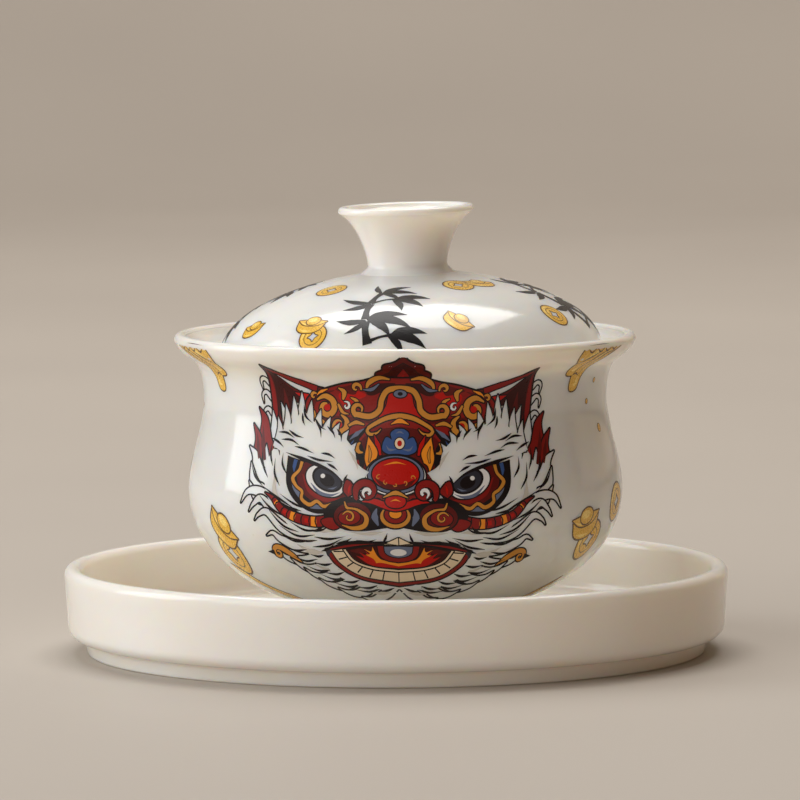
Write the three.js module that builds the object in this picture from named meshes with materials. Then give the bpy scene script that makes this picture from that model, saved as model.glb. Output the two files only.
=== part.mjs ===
// Gaiwan: a lidded porcelain tea bowl with a waist and a flared rim, standing in a wide
// upright-walled saucer. Three thrown pieces, each a solid of revolution about its own axis.
// Origin: centre of the saucer's foot, on the surface it stands on. +Z up, millimetres.
import * as THREE from "three";

// ---- Round pieces ----
const FACETS = 48; // flats round each turned piece
const SEAT_GAP = 0.3; // left where one piece rests on another

// ---- Saucer ----
const SAUCER_RADIUS = 69; // outside, at the rim
const SAUCER_HEIGHT = 18.1;
const SAUCER_WALL = 3.4;
const SAUCER_FLOOR = 3.2; // thickness of the floor
const SAUCER_TAPER = 0.65; // how far the wall leans in, rim to base
const SAUCER_CORNER = 2.8; // radius under the wall
const SAUCER_FILLET = 3; // radius where the floor meets the wall inside
const SAUCER_FOOT_INSET = 4.2; // foot ring, in from the rim
const SAUCER_FOOT_HEIGHT = 3.2;
const SAUCER_FOOT_WIDTH = 5;
const SAUCER_RECESS = 2.3; // hollow under the floor, inside the foot ring

// ---- Bowl, heights from its own foot ----
const BOWL_HEIGHT = 60.6;
const RIM_RADIUS = 47.9;
const NECK_RADIUS = 41.8;
const NECK_HEIGHT = 46.7;
const BELLY_RADIUS = 45.1;
const BELLY_HEIGHT = 28.2;
const BOWL_WALL = 2.4;
const BOWL_FLOOR = 2.4; // thickness inside the foot ring
const RIM_LEAN = THREE.MathUtils.degToRad(24); // the lip, out from upright
const BOWL_FOOT_RADIUS = 23;
const BOWL_FOOT_HEIGHT = 5.1;
const BOWL_FOOT_WIDTH = 3;
const BOWL_FOOT_FLARE = 1; // the foot ring widens this much where it joins the bowl
const BOWL_RECESS = 2.2;
const UNDERSIDE_SLOPE = THREE.MathUtils.degToRad(17); // rise of the bowl just outside its foot

// ---- Lid, heights from the centre of its rounded seating edge ----
const LID_REACH = 0.7; // the lid's edge passes the inside of the neck by this much
const LID_WALL = 2.2;
const DOME_HEIGHT = 18.6;
const EDGE_LEAN = THREE.MathUtils.degToRad(2); // the dome's wall at its edge, in from upright
const KNOB_NECK_RADIUS = 8.25;
const KNOB_RADIUS = 14.1;
const KNOB_HEIGHT = 13; // above the dome
const KNOB_DISH = 2.8; // depth of the hollow in its top
const KNOB_WALL = 1.8;

// ---- How the pieces stand ----
const BOWL_OFFSET = 2.06; // the bowl stands this far along +X from the saucer's centre
const LID_TILT = THREE.MathUtils.degToRad(1.6); // the lid sits cocked, its +X side higher
const LID_SHIFT = 1.15; // and has slid this far up the flare with the tilt

const EDGE_RADIUS = LID_WALL / 2;
const LIP_RADIUS = BOWL_WALL / 2;
const SAUCER_FLOOR_TOP = SAUCER_RECESS + SAUCER_FLOOR;
const BOWL_BASE = SAUCER_FLOOR_TOP + SEAT_GAP;
const FOOT_ROUNDING = 0.5;

const point = (r, z) => new THREE.Vector2(r, z);

function bezier(from, leave, arrive, to, steps) {
  return new THREE.CubicBezierCurve(from, leave, arrive, to).getPoints(steps);
}

// Points on an arc in the (radius, height) plane, angles in radians from the outward direction.
function arc(centreR, centreZ, radius, start, end, steps) {
  const at = (i) => start + ((end - start) * i) / steps;
  return Array.from({ length: steps + 1 }, (_, i) =>
    point(centreR + radius * Math.cos(at(i)), centreZ + radius * Math.sin(at(i))),
  );
}

// The same outline moved sideways by a wall's thickness, to the left of its direction of travel.
function offset(outline, distance) {
  return outline.map((p, i) => {
    const before = outline[Math.max(i - 1, 0)];
    const after = outline[Math.min(i + 1, outline.length - 1)];
    const along = after.clone().sub(before).normalize();
    return point(p.x - along.y * distance, p.y + along.x * distance);
  });
}

function withoutRepeats(outline) {
  return outline.filter((p, i) => i === 0 || p.distanceTo(outline[i - 1]) > 0.01);
}

// A closed solid turned about +Z. The outline runs from the axis below, outwards and up, to the axis above.
function turned(name, outline, material) {
  const geometry = new THREE.LatheGeometry(withoutRepeats(outline), FACETS);
  geometry.rotateX(Math.PI / 2);
  const mesh = new THREE.Mesh(geometry, material);
  mesh.name = name;
  return mesh;
}

// ---- Foot ring shared by saucer and bowl: a flat standing ring with rounded corners and a recess ----
function footRing(outerRadius, topRadius, height, width, recess) {
  const innerRadius = outerRadius - width;
  return [
    point(0, recess),
    point(innerRadius - FOOT_ROUNDING, recess),
    point(innerRadius, FOOT_ROUNDING),
    point(innerRadius + FOOT_ROUNDING, 0),
    point(outerRadius - FOOT_ROUNDING, 0),
    point(outerRadius, FOOT_ROUNDING),
    point(topRadius, height),
  ];
}

function saucerOutline() {
  const baseRadius = SAUCER_RADIUS - SAUCER_TAPER;
  const footTop = SAUCER_RADIUS - SAUCER_FOOT_INSET;
  const lip = SAUCER_WALL / 2;
  const innerRadius = baseRadius - SAUCER_WALL;
  return [
    ...footRing(footTop - FOOT_ROUNDING, footTop, SAUCER_FOOT_HEIGHT, SAUCER_FOOT_WIDTH, SAUCER_RECESS),
    ...arc(
      baseRadius - SAUCER_CORNER,
      SAUCER_FOOT_HEIGHT + SAUCER_CORNER,
      SAUCER_CORNER,
      -Math.PI / 2,
      0,
      4,
    ),
    ...arc(SAUCER_RADIUS - lip, SAUCER_HEIGHT - lip, lip, 0, Math.PI, 6),
    ...arc(
      innerRadius - SAUCER_FILLET,
      SAUCER_FLOOR_TOP + SAUCER_FILLET,
      SAUCER_FILLET,
      0,
      -Math.PI / 2,
      4,
    ),
    point(0, SAUCER_FLOOR_TOP),
  ];
}

// ---- Bowl: outside from the foot up to the lip, in three smooth stretches ----
function bowlOutside() {
  const footTop = point(BOWL_FOOT_RADIUS + BOWL_FOOT_FLARE, BOWL_FOOT_HEIGHT);
  const belly = point(BELLY_RADIUS, BELLY_HEIGHT);
  const neck = point(NECK_RADIUS, NECK_HEIGHT);
  const lipEdge = point(
    RIM_RADIUS - LIP_RADIUS + LIP_RADIUS * Math.cos(RIM_LEAN),
    BOWL_HEIGHT - LIP_RADIUS - LIP_RADIUS * Math.sin(RIM_LEAN),
  );
  const underside = 0.5 * (belly.x - footTop.x);
  const lower = belly.y - footTop.y;
  const waist = neck.y - belly.y;
  const flare = lipEdge.y - neck.y;
  return [
    ...bezier(
      footTop,
      point(
        footTop.x + underside * Math.cos(UNDERSIDE_SLOPE),
        footTop.y + underside * Math.sin(UNDERSIDE_SLOPE),
      ),
      point(belly.x, belly.y - 0.51 * lower),
      belly,
      7,
    ),
    ...bezier(belly, point(belly.x, belly.y + 0.34 * waist), point(neck.x, neck.y - 0.29 * waist), neck, 5),
    ...bezier(
      neck,
      point(neck.x, neck.y + 0.9 * flare),
      point(
        lipEdge.x - 0.435 * flare * Math.sin(RIM_LEAN),
        lipEdge.y - 0.435 * flare * Math.cos(RIM_LEAN),
      ),
      lipEdge,
      7,
    ),
  ];
}

function bowlInside() {
  return withoutRepeats(offset(withoutRepeats(bowlOutside()), BOWL_WALL));
}

function bowlOutline() {
  const inside = bowlInside().reverse();
  const floorEdge = inside[inside.length - 1];
  const floorTop = BOWL_RECESS + BOWL_FLOOR;
  return [
    ...footRing(
      BOWL_FOOT_RADIUS,
      BOWL_FOOT_RADIUS + BOWL_FOOT_FLARE,
      BOWL_FOOT_HEIGHT,
      BOWL_FOOT_WIDTH,
      BOWL_RECESS,
    ),
    ...bowlOutside(),
    ...arc(RIM_RADIUS - LIP_RADIUS, BOWL_HEIGHT - LIP_RADIUS, LIP_RADIUS, -RIM_LEAN, Math.PI - RIM_LEAN, 5),
    ...inside,
    ...bezier(
      floorEdge,
      point(0.67 * floorEdge.x, floorEdge.y - 0.33 * floorEdge.x * Math.tan(UNDERSIDE_SLOPE)),
      point(0.35 * floorEdge.x, floorTop),
      point(0, floorTop),
      3,
    ),
  ];
}

// ---- Lid: dome, knob and rounded seating edge ----
const LID_RADIUS = NECK_RADIUS - BOWL_WALL + LID_REACH;

function domeOutside() {
  const edge = point(
    LID_RADIUS - EDGE_RADIUS + EDGE_RADIUS * Math.cos(EDGE_LEAN),
    EDGE_RADIUS * Math.sin(EDGE_LEAN),
  );
  const shoulder = 0.88 * DOME_HEIGHT;
  return bezier(
    edge,
    point(edge.x - shoulder * Math.sin(EDGE_LEAN), edge.y + shoulder * Math.cos(EDGE_LEAN)),
    point(0.05 * LID_RADIUS, DOME_HEIGHT),
    point(0, DOME_HEIGHT),
    12,
  );
}

function knobOutside() {
  const lip = KNOB_WALL / 2;
  const top = DOME_HEIGHT + KNOB_HEIGHT;
  const spread = KNOB_RADIUS - KNOB_NECK_RADIUS;
  const join = domeOutside().find((p) => p.x < KNOB_NECK_RADIUS + 1.5);
  return [
    join,
    ...bezier(
      point(KNOB_NECK_RADIUS, DOME_HEIGHT + 0.3),
      point(KNOB_NECK_RADIUS + 0.05 * spread, DOME_HEIGHT + 0.32 * KNOB_HEIGHT),
      point(KNOB_NECK_RADIUS + 0.5 * spread, DOME_HEIGHT + 0.79 * KNOB_HEIGHT),
      point(KNOB_RADIUS - 0.2, top - 1.5 * lip),
      6,
    ),
    ...arc(KNOB_RADIUS - lip, top - lip, lip, 0, Math.PI / 2, 3),
    ...bezier(
      point(KNOB_RADIUS - 2 * lip, top - 0.2 * lip),
      point(0.75 * KNOB_RADIUS, top - KNOB_DISH),
      point(0.4 * KNOB_RADIUS, top - KNOB_DISH),
      point(0, top - KNOB_DISH),
      4,
    ),
  ];
}

function lidOutline() {
  const outside = domeOutside();
  const inside = offset(outside, LID_WALL);
  inside[inside.length - 1].x = 0;
  const join = knobOutside()[0].x;
  return [
    ...inside.reverse(),
    ...arc(LID_RADIUS - EDGE_RADIUS, 0, EDGE_RADIUS, Math.PI + EDGE_LEAN, 2 * Math.PI + EDGE_LEAN, 5),
    ...outside.filter((p) => p.x > join),
    ...knobOutside(),
  ];
}

// Shortest distance from a point to an outline in the (radius, height) plane.
function distanceTo(outline, r, z) {
  const from = new THREE.Vector3(r, z, 0);
  const nearest = new THREE.Vector3();
  const spans = outline.slice(1).map((p, i) => {
    const span = new THREE.Line3(
      new THREE.Vector3(outline[i].x, outline[i].y, 0),
      new THREE.Vector3(p.x, p.y, 0),
    );
    return span.closestPointToPoint(from, true, nearest).distanceTo(from);
  });
  return Math.min(...spans);
}

// Height in the bowl at which the tilted lid's edge comes to SEAT_GAP from the flare.
function seatHeight() {
  const flare = bowlInside();
  const centreRadius = LID_RADIUS - EDGE_RADIUS;
  const clearance = (height) => {
    const gaps = Array.from({ length: FACETS }, (_, i) => {
      const turn = (2 * Math.PI * i) / FACETS;
      const x = centreRadius * Math.cos(turn) * Math.cos(LID_TILT) + LID_SHIFT;
      const y = centreRadius * Math.sin(turn);
      const z = height + centreRadius * Math.cos(turn) * Math.sin(LID_TILT);
      return distanceTo(flare, Math.hypot(x, y), z);
    });
    return Math.min(...gaps) - EDGE_RADIUS;
  };
  const step = 0.02;
  let height = BOWL_HEIGHT + 2 * LID_WALL;
  while (clearance(height - step) > SEAT_GAP) height -= step;
  return height;
}

// ---- Glazed porcelain ----
function porcelain(tint) {
  return new THREE.MeshStandardMaterial({ color: tint, roughness: 0.18, metalness: 0 });
}

const saucer = turned("saucer", saucerOutline(), porcelain(0xe9e3d6));
const bowl = turned("bowl", bowlOutline(), porcelain(0xece7dc));
const lid = turned("lid", lidOutline(), porcelain(0xeceae4));
lid.position.set(LID_SHIFT, 0, seatHeight());
lid.rotation.y = -LID_TILT;

const coveredBowl = new THREE.Group();
coveredBowl.position.set(BOWL_OFFSET, 0, BOWL_BASE);
coveredBowl.add(bowl, lid);

const group = new THREE.Group();
group.add(saucer, coveredBowl);

export default group;
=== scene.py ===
import math

import bpy
import numpy as np
from bpy.props import FloatProperty, FloatVectorProperty, IntProperty, PointerProperty
from mathutils import Matrix, Vector
from mathutils.geometry import delaunay_2d_cdt


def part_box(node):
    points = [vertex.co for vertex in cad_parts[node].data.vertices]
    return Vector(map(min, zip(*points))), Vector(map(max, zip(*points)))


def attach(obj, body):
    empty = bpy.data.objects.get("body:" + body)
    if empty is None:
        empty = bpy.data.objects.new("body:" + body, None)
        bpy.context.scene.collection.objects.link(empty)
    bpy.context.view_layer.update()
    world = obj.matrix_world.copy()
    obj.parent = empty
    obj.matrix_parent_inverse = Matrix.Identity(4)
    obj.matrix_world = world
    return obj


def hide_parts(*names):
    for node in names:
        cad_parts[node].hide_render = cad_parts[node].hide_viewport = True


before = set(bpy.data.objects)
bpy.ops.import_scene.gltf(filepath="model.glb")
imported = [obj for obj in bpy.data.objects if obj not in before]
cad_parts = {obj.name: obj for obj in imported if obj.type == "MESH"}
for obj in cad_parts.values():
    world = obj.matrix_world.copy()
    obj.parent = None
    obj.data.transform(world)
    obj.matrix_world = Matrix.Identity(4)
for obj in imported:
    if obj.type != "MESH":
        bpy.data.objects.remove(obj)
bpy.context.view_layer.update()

bl_info = {
    "name": "Gaiwan",
    "version": (1, 0, 0),
    "blender": (4, 5, 0),
    "location": "View3D > Sidebar > Gaiwan",
    "description": "Makes a lidded porcelain tea bowl on its saucer, with its painted decoration",
    "category": "Add Mesh",
}

SAUCER_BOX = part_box("saucer")
BOWL_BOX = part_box("bowl")
LID_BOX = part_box("lid")
MM = 0.001

# Fixed sizes of the turned pieces, in millimetres and degrees.
BARE_BELOW = 0.3
SAUCER_BASE, SAUCER_RECESS, SAUCER_FOOT_WIDTH = 3.2, 2.3, 5.0
SAUCER_FOOT_INSET, SAUCER_LEAN = 4.2, 0.65
SAUCER_CORNER, SAUCER_FILLET = 2.8, 3.0
BOWL_FOOT, BOWL_FOOT_TOP, BOWL_FOOT_HEIGHT, BOWL_FOOT_WIDTH, BOWL_RECESS = 23.0, 24.0, 5.1, 3.0, 2.2
BOWL_NECK_HEIGHT, BOWL_BELLY_HEIGHT, BOWL_WELL = 46.7, 28.2, 4.6
BOWL_SLOPE, BOWL_LIP, BOWL_LIP_LEAN = math.radians(17), 1.2, 24
LID_EDGE, LID_EDGE_LEAN = 1.1, 2
KNOB_LIP, KNOB_DISH = 0.9, 2.8

# Where the decoration lies, in millimetres on the glaze.
WRAP_RADIUS = 44.0
MASK_MIDDLE, MASK_LEAN = -2.0, -0.9
BACK_OF_BOWL = math.pi * WRAP_RADIUS
BAMBOO_FROM_TOP = 30.6
ENAMEL_BURIED = 0.75

# How fine the unevenness in the glaze is, in grains to the metre.
CLOUD, RIPPLE, PEEL, SPECKLE = 34.0, 55.0, 900.0, 230.0


# ---------------------------------------------------------------- sizes and colours

def length(name, description, default):
    return FloatProperty(name=name, description=description, default=default, min=0.0, precision=5,
                         subtype="DISTANCE", unit="LENGTH")


def colour(name, description, default):
    return FloatVectorProperty(name=name, description=description, default=default, size=3, min=0.0, max=1.0,
                               subtype="COLOR")


class GaiwanSizes(bpy.types.PropertyGroup):
    """Sizes of the three turned pieces"""

    saucer_radius: length("Saucer radius", "From the middle to the outside of the rim", SAUCER_BOX[1].x)
    saucer_height: length("Saucer height", "From the table to the top of the rim", SAUCER_BOX[1].z)
    saucer_wall: length("Saucer wall", "Thickness of the upright wall", 0.0034)
    saucer_floor: length("Saucer floor", "Height of the flat floor inside", 0.0055)
    bowl_base: length("Bowl base", "Height of the bowl's foot above the table", BOWL_BOX[0].z)
    bowl_height: length("Bowl height", "From the foot to the top of the lip", BOWL_BOX[1].z - BOWL_BOX[0].z)
    bowl_offset: length("Bowl offset", "How far the bowl stands right of the saucer's middle",
                        (BOWL_BOX[0].x + BOWL_BOX[1].x) / 2)
    rim_radius: length("Rim radius", "Outside radius of the turned-out lip", 0.0479)
    neck_radius: length("Neck radius", "Outside radius at the narrow neck", 0.0418)
    belly_radius: length("Belly radius", "Outside radius at the widest place below the neck", 0.0451)
    bowl_wall: length("Bowl wall", "Thickness of the bowl", 0.0024)
    lid_radius: length("Lid radius", "Outside radius of the lid", 0.0401)
    lid_dome: length("Dome height", "Height of the lid's dome above its edge", 0.0186)
    lid_wall: length("Lid wall", "Thickness of the lid", 0.0022)
    knob_radius: length("Knob radius", "Radius of the flared knob's lip", 0.0141)
    knob_neck: length("Knob neck", "Radius of the knob's narrow neck", 0.00825)
    knob_height: length("Knob height", "Height of the knob above the dome", 0.013)
    lid_tilt: FloatProperty(name="Lid tilt", description="How far the lid leans as it lies in the bowl",
                            default=math.radians(1.6), subtype="ANGLE", unit="ROTATION")
    around: IntProperty(name="Steps round", description="Steps round each turned piece", default=288, min=48)
    enamel: length("Enamel thickness", "How far the painted enamel stands above the glaze", 0.00004)


class GaiwanFinish(bpy.types.PropertyGroup):
    """Colours of the glaze and of the enamels painted over it"""

    glaze: colour("Glaze", "Warm white glazed porcelain", (0.83, 0.815, 0.79))
    # Warm glaze colour for the random clouding, and painted warm shade on the saucer's floor.
    pooled_glaze_and_shade: colour("Pooled glaze", "Where the glaze lies thicker", (0.80, 0.735, 0.60))
    biscuit: colour("Bare clay", "Unglazed foot ring", (0.70, 0.64, 0.55))
    ink: colour("Ink", "Black outline enamel", (0.010, 0.006, 0.007))
    brush: colour("Brush ink", "Black enamel of the brushwork", (0.012, 0.011, 0.012))
    white: colour("White", "White enamel of the eyes and curls", (0.74, 0.73, 0.72))
    shade: colour("Fur shade", "Warm grey in the folds of the fur", (0.56, 0.52, 0.46))
    umber: colour("Umber", "Darkest red-brown", (0.042, 0.0048, 0.0036))
    maroon: colour("Maroon", "Dark red", (0.105, 0.0072, 0.006))
    crimson: colour("Crimson", "Middle red", (0.235, 0.0108, 0.0084))
    scarlet: colour("Scarlet", "Bright red", (0.46, 0.0072, 0.0036))
    amber: colour("Amber", "Deep gold", (0.56, 0.235, 0.035))
    orange: colour("Orange", "Bright orange", (0.80, 0.26, 0.018))
    cream: colour("Cream", "Pale cream of the teeth", (0.74, 0.60, 0.42))
    steel: colour("Steel blue", "Blue grey", (0.13, 0.155, 0.235))
    blue: colour("Blue", "Middle blue", (0.04, 0.085, 0.24))
    slate: colour("Slate", "Dark grey of the eyes", (0.032, 0.032, 0.045))
    gold: colour("Gold", "Yellow gold of the coins and ingots", (0.80, 0.47, 0.06))
    gilt: colour("Light gold", "Lit side of the coins and ingots", (0.93, 0.68, 0.19))
    bronze: colour("Bronze", "Brown outline of the gold enamel", (0.10, 0.042, 0.010))
    floor: colour("Floor", "Pale floor and backdrop", (0.45, 0.405, 0.355))


def finish():
    """The colours, as set in the sidebar."""
    return bpy.context.scene.gaiwan_finish


def mm(name):
    """One of the sizes, in the millimetres that the outlines are written in."""
    return getattr(bpy.context.scene.gaiwan_sizes, name) / MM


# ---------------------------------------------------------------- shader recipes

class Flow:
    """What comes out of a node, with the arithmetic that the recipes use."""

    def __init__(self, recipe, socket):
        self.recipe = recipe
        self.socket = socket

    def maths(self, operation, first, second):
        return self.recipe.add("ShaderNodeMath", {"operation": operation}, {0: first, 1: second})

    def __add__(self, other):
        return self.maths("ADD", self, other)

    def __radd__(self, other):
        return self.maths("ADD", other, self)

    def __sub__(self, other):
        return self.maths("SUBTRACT", self, other)

    def __rsub__(self, other):
        return self.maths("SUBTRACT", other, self)

    def __mul__(self, other):
        return self.maths("MULTIPLY", self, other)

    def __rmul__(self, other):
        return self.maths("MULTIPLY", other, self)

    def __lt__(self, other):
        return self.maths("LESS_THAN", self, other)

    def __gt__(self, other):
        return self.maths("GREATER_THAN", self, other)


class Recipe:
    """A material made node by node."""

    def __init__(self, name):
        self.material = bpy.data.materials.new(name)
        self.material.use_nodes = True
        self.tree = self.material.node_tree
        self.tree.nodes.clear()

    def add(self, kind, settings=None, sockets=None, output=0):
        node = self.tree.nodes.new(kind)
        for key, value in (settings or {}).items():
            setattr(node, key, value)
        for key, value in (sockets or {}).items():
            socket = node.inputs[key]
            if isinstance(value, Flow):
                self.tree.links.new(value.socket, socket)
            elif socket.type == "RGBA":
                socket.default_value = (*value, 1.0)
            else:
                socket.default_value = value
        return Flow(self, node.outputs[output]) if node.outputs else None

    def place(self):
        return self.add("ShaderNodeTexCoord", {}, {}, "Object")

    def noise(self, place, scale, detail=2.0):
        return self.add("ShaderNodeTexNoise", {}, {"Vector": place, "Scale": scale, "Detail": detail}, 0)

    def spread(self, value, low, high, to_low, to_high):
        return self.add("ShaderNodeMapRange", {"clamp": True}, {
            "Value": value, "From Min": low, "From Max": high, "To Min": to_low, "To Max": to_high})

    def mix(self, factor, first, second):
        return self.add("ShaderNodeMix", {"data_type": "RGBA"}, {0: factor, 6: first, 7: second}, 2)

    def bump(self, height, strength, distance):
        return self.add("ShaderNodeBump", {}, {"Strength": strength, "Distance": distance, "Height": height})

    def surface(self, sockets):
        shader = self.add("ShaderNodeBsdfPrincipled", {}, sockets)
        self.add("ShaderNodeOutputMaterial", {}, {"Surface": shader})
        return self.material


def glaze_material(name, well=0.0):
    """Clear glaze over warm white clay: faint clouding, rare tiny specks, soft ripples in the gloss.

    On the floor of a tray whose inside radius is well, the colour is warmed as painted warm shade.
    """
    recipe = Recipe(name)
    place = recipe.place()
    cloud = recipe.noise(place, CLOUD, 3.0)
    ripple = recipe.noise(place, RIPPLE, 1.0)
    peel = recipe.noise(place, PEEL)
    grain = recipe.add("ShaderNodeTexVoronoi", {"feature": "F1"},
            {"Vector": place, "Scale": SPECKLE}, "Distance")
    sparse = recipe.noise(place, 140.0, 0.0)
    speck = (grain < 0.055) * (sparse > 0.60)
    pooled_glaze_and_shade = recipe.spread(cloud, 0.40, 0.72, 0.0, 0.3)
    # Painted warm shade: the saucer's floor and the foot of its inner wall are warmed.
    if well:
        x, y, z = (recipe.add("ShaderNodeSeparateXYZ", {}, {"Vector": place}, axis) for axis in range(3))
        inside = recipe.spread(x * x + y * y, (0.95 * well) ** 2, (1.002 * well) ** 2, 1.0, 0.0)
        low = recipe.spread(z, 0.25 * SAUCER_BOX[1][2], 0.95 * SAUCER_BOX[1][2], 1.0, 0.0)
        pooled_glaze_and_shade = pooled_glaze_and_shade + inside * low * (0.55 + cloud * 0.5)
    body = recipe.mix(pooled_glaze_and_shade, finish().glaze, finish().pooled_glaze_and_shade)
    return recipe.surface({
        "Base Color": recipe.mix(speck * 0.35, body, finish().biscuit),
        "Roughness": 0.08 + peel * 0.05 + cloud * 0.06,
        "IOR": 1.52,
        "Subsurface Weight": 0.65,
        "Subsurface Radius": (1.0, 0.70, 0.42),
        "Subsurface Scale": 0.005,
        "Normal": recipe.bump(ripple + peel * 0.06, 0.25, 0.0004),
    })


def biscuit_material(name):
    """Bare clay where the foot was wiped: matt, finely gritty, a little darker in the grain."""
    recipe = Recipe(name)
    place = recipe.place()
    grit = recipe.noise(place, 1600.0, 3.0)
    wiped = recipe.noise(place, 120.0)
    return recipe.surface({
        "Base Color": recipe.mix(recipe.spread(wiped, 0.35, 0.7, 0.0, 0.6), finish().biscuit, finish().glaze),
        "Roughness": 0.62 + grit * 0.25,
        "Subsurface Weight": 0.10,
        "Subsurface Radius": (1.0, 0.66, 0.42),
        "Subsurface Scale": 0.002,
        "Normal": recipe.bump(grit, 0.5, 0.0002),
    })


def enamel_material(name, shade):
    """Overglaze enamel: a fired layer, slightly rougher than the glaze, with a fine sandy grain."""
    recipe = Recipe(name)
    place = recipe.place()
    sand = recipe.noise(place, 2600.0)
    patch = recipe.noise(place, 240.0)
    return recipe.surface({
        "Base Color": shade,
        "Roughness": 0.20 + sand * 0.14 + patch * 0.08,
        "IOR": 1.5,
        "Specular IOR Level": 0.22,
        "Normal": recipe.bump(sand + patch, 0.45, 0.00009),
    })


def gold_material(name, shade):
    """Gold-coloured enamel: satin, with a finer sparkle than the other colours."""
    recipe = Recipe(name)
    place = recipe.place()
    sand = recipe.noise(place, 3200.0)
    patch = recipe.noise(place, 300.0)
    return recipe.surface({
        "Base Color": shade,
        "Metallic": recipe.spread(patch, 0.3, 0.7, 0.0, 0.16),
        "Roughness": 0.20 + sand * 0.16,
        "Normal": recipe.bump(sand, 0.35, 0.00005),
    })


# ---------------------------------------------------------------- outlines of the pieces, in millimetres

def arc(middle, radius, start, end, steps=8):
    """Points along part of a circle, between two angles in degrees."""
    angles = np.radians(np.linspace(start, end, steps + 1))
    return np.column_stack([middle[0] + radius * np.cos(angles), middle[1] + radius * np.sin(angles)])


def bezier(p0, p1, p2, p3, steps=36):
    """Points along a curve that leaves p0 towards p1 and reaches p3 from p2."""
    t = np.linspace(0.0, 1.0, steps + 1)[:, None]
    p0, p1, p2, p3 = (np.array(p, float) for p in (p0, p1, p2, p3))
    return (1 - t) ** 3 * p0 + 3 * (1 - t) ** 2 * t * p1 + 3 * (1 - t) * t * t * p2 + t ** 3 * p3


def straight(start, end, steps):
    """Points along a straight line."""
    return np.linspace(start, end, steps + 1)


def joined(*runs):
    """Runs of points end to end, without the points that two runs share."""
    points = np.vstack([np.atleast_2d(run) for run in runs])
    gaps = np.hypot(*np.diff(points, axis=0).T)
    return points[np.r_[True, gaps > 1e-4]]


def offset_left(line, distance):
    """The same line moved to its left by a distance."""
    along = np.gradient(line, axis=0)
    along /= np.hypot(*along.T)[:, None]
    return line + distance * np.column_stack([-along[:, 1], along[:, 0]])


def foot_ring(outer, top_radius, height, width, recess, rounding=0.5):
    """The recessed base and the foot ring, from the axis out to where the wall starts."""
    inner = outer - width
    return joined(
        straight((0.0, recess), (inner - 2 * rounding, recess), 10),
        arc((inner - 2 * rounding, recess - rounding), rounding, 90, 0, 5) if recess > 2 * rounding
        else (inner - rounding, recess),
        arc((inner + 0.3, rounding), rounding + 0.3, 180, 270, 5) + [0.0, 0.3],
        arc((outer - rounding, rounding), rounding, -90, 0, 5),
        straight((outer, rounding), (top_radius, height), 4),
    )


def saucer_outline():
    """Half of the saucer's section, from under its middle round to the middle of its floor."""
    radius, height = mm("saucer_radius"), mm("saucer_height")
    wall, floor_top = mm("saucer_wall"), mm("saucer_floor")
    outer = radius - SAUCER_LEAN
    foot, corner, fillet, lip = outer - SAUCER_FOOT_INSET, SAUCER_CORNER, SAUCER_FILLET, wall / 2
    return joined(
        foot_ring(foot + 0.15, foot + 0.65, SAUCER_BASE, SAUCER_FOOT_WIDTH, SAUCER_RECESS),
        arc((outer - corner, SAUCER_BASE + corner), corner, -90, 0, 12),
        straight((outer, SAUCER_BASE + corner), (radius, height - lip), 14),
        arc((radius - lip, height - lip), lip, 0, 180, 18),
        straight((radius - wall, height - lip), (outer - wall, floor_top + fillet), 10),
        arc((outer - wall - fillet, floor_top + fillet), fillet, 0, -90, 12),
        straight((outer - wall - fillet, floor_top), (0.0, floor_top), 30),
    )


def bowl_outside():
    """The bowl's outside from the foot ring up to the underside of its lip, measured from its own foot."""
    height, rim, neck, belly = mm("bowl_height"), mm("rim_radius"), mm("neck_radius"), mm("belly_radius")
    neck_height, belly_height = BOWL_NECK_HEIGHT, BOWL_BELLY_HEIGHT
    foot_top, foot_height = BOWL_FOOT_TOP, BOWL_FOOT_HEIGHT
    slope, lean, lip = BOWL_SLOPE, math.radians(BOWL_LIP_LEAN), BOWL_LIP
    run, rise, span = belly - foot_top, belly_height - foot_height, neck_height - belly_height
    lip_edge = np.array([rim - lip + lip * math.cos(lean), height - lip - lip * math.sin(lean)])
    flare = lip_edge[1] - neck_height
    return joined(
        bezier((foot_top, foot_height),
               (foot_top + 0.5 * run * math.cos(slope), foot_height + 0.5 * run * math.sin(slope)),
               (belly, belly_height - 0.51 * rise), (belly, belly_height), 44),
        bezier((belly, belly_height), (belly, belly_height + 0.34 * span),
               (neck, neck_height - 0.29 * span), (neck, neck_height), 30),
        bezier((neck, neck_height), (neck, neck_height + 0.9 * flare),
               lip_edge - 0.435 * flare * np.array([math.sin(lean), math.cos(lean)]), lip_edge, 36),
    )


def bowl_outline():
    """Half of the bowl's section, from under its foot over the lip to the middle of its well."""
    height, rim, wall, lip = mm("bowl_height"), mm("rim_radius"), mm("bowl_wall"), BOWL_LIP
    outside = bowl_outside()
    inside = offset_left(outside, wall)[::-1]
    edge = inside[-1]
    slope = math.tan(BOWL_SLOPE)
    return joined(
        foot_ring(BOWL_FOOT, BOWL_FOOT_TOP, BOWL_FOOT_HEIGHT, BOWL_FOOT_WIDTH, BOWL_RECESS),
        outside,
        arc((rim - lip, height - lip), lip, -BOWL_LIP_LEAN, 180 - BOWL_LIP_LEAN, 18),
        inside,
        bezier(edge, (0.67 * edge[0], edge[1] - 0.33 * edge[0] * slope),
               (0.35 * edge[0], BOWL_WELL), (0.0, BOWL_WELL), 30),
    )


def lid_dome():
    """The lid's outside from its edge up to the axis, as if it had no knob."""
    radius, dome, lean, edge = mm("lid_radius"), mm("lid_dome"), math.radians(LID_EDGE_LEAN), LID_EDGE
    start = np.array([radius - edge + edge * math.cos(lean), edge * math.sin(lean)])
    return bezier(start, start + 0.88 * dome * np.array([-math.sin(lean), math.cos(lean)]),
                  (0.05 * radius, dome), (0.0, dome), 110)


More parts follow.
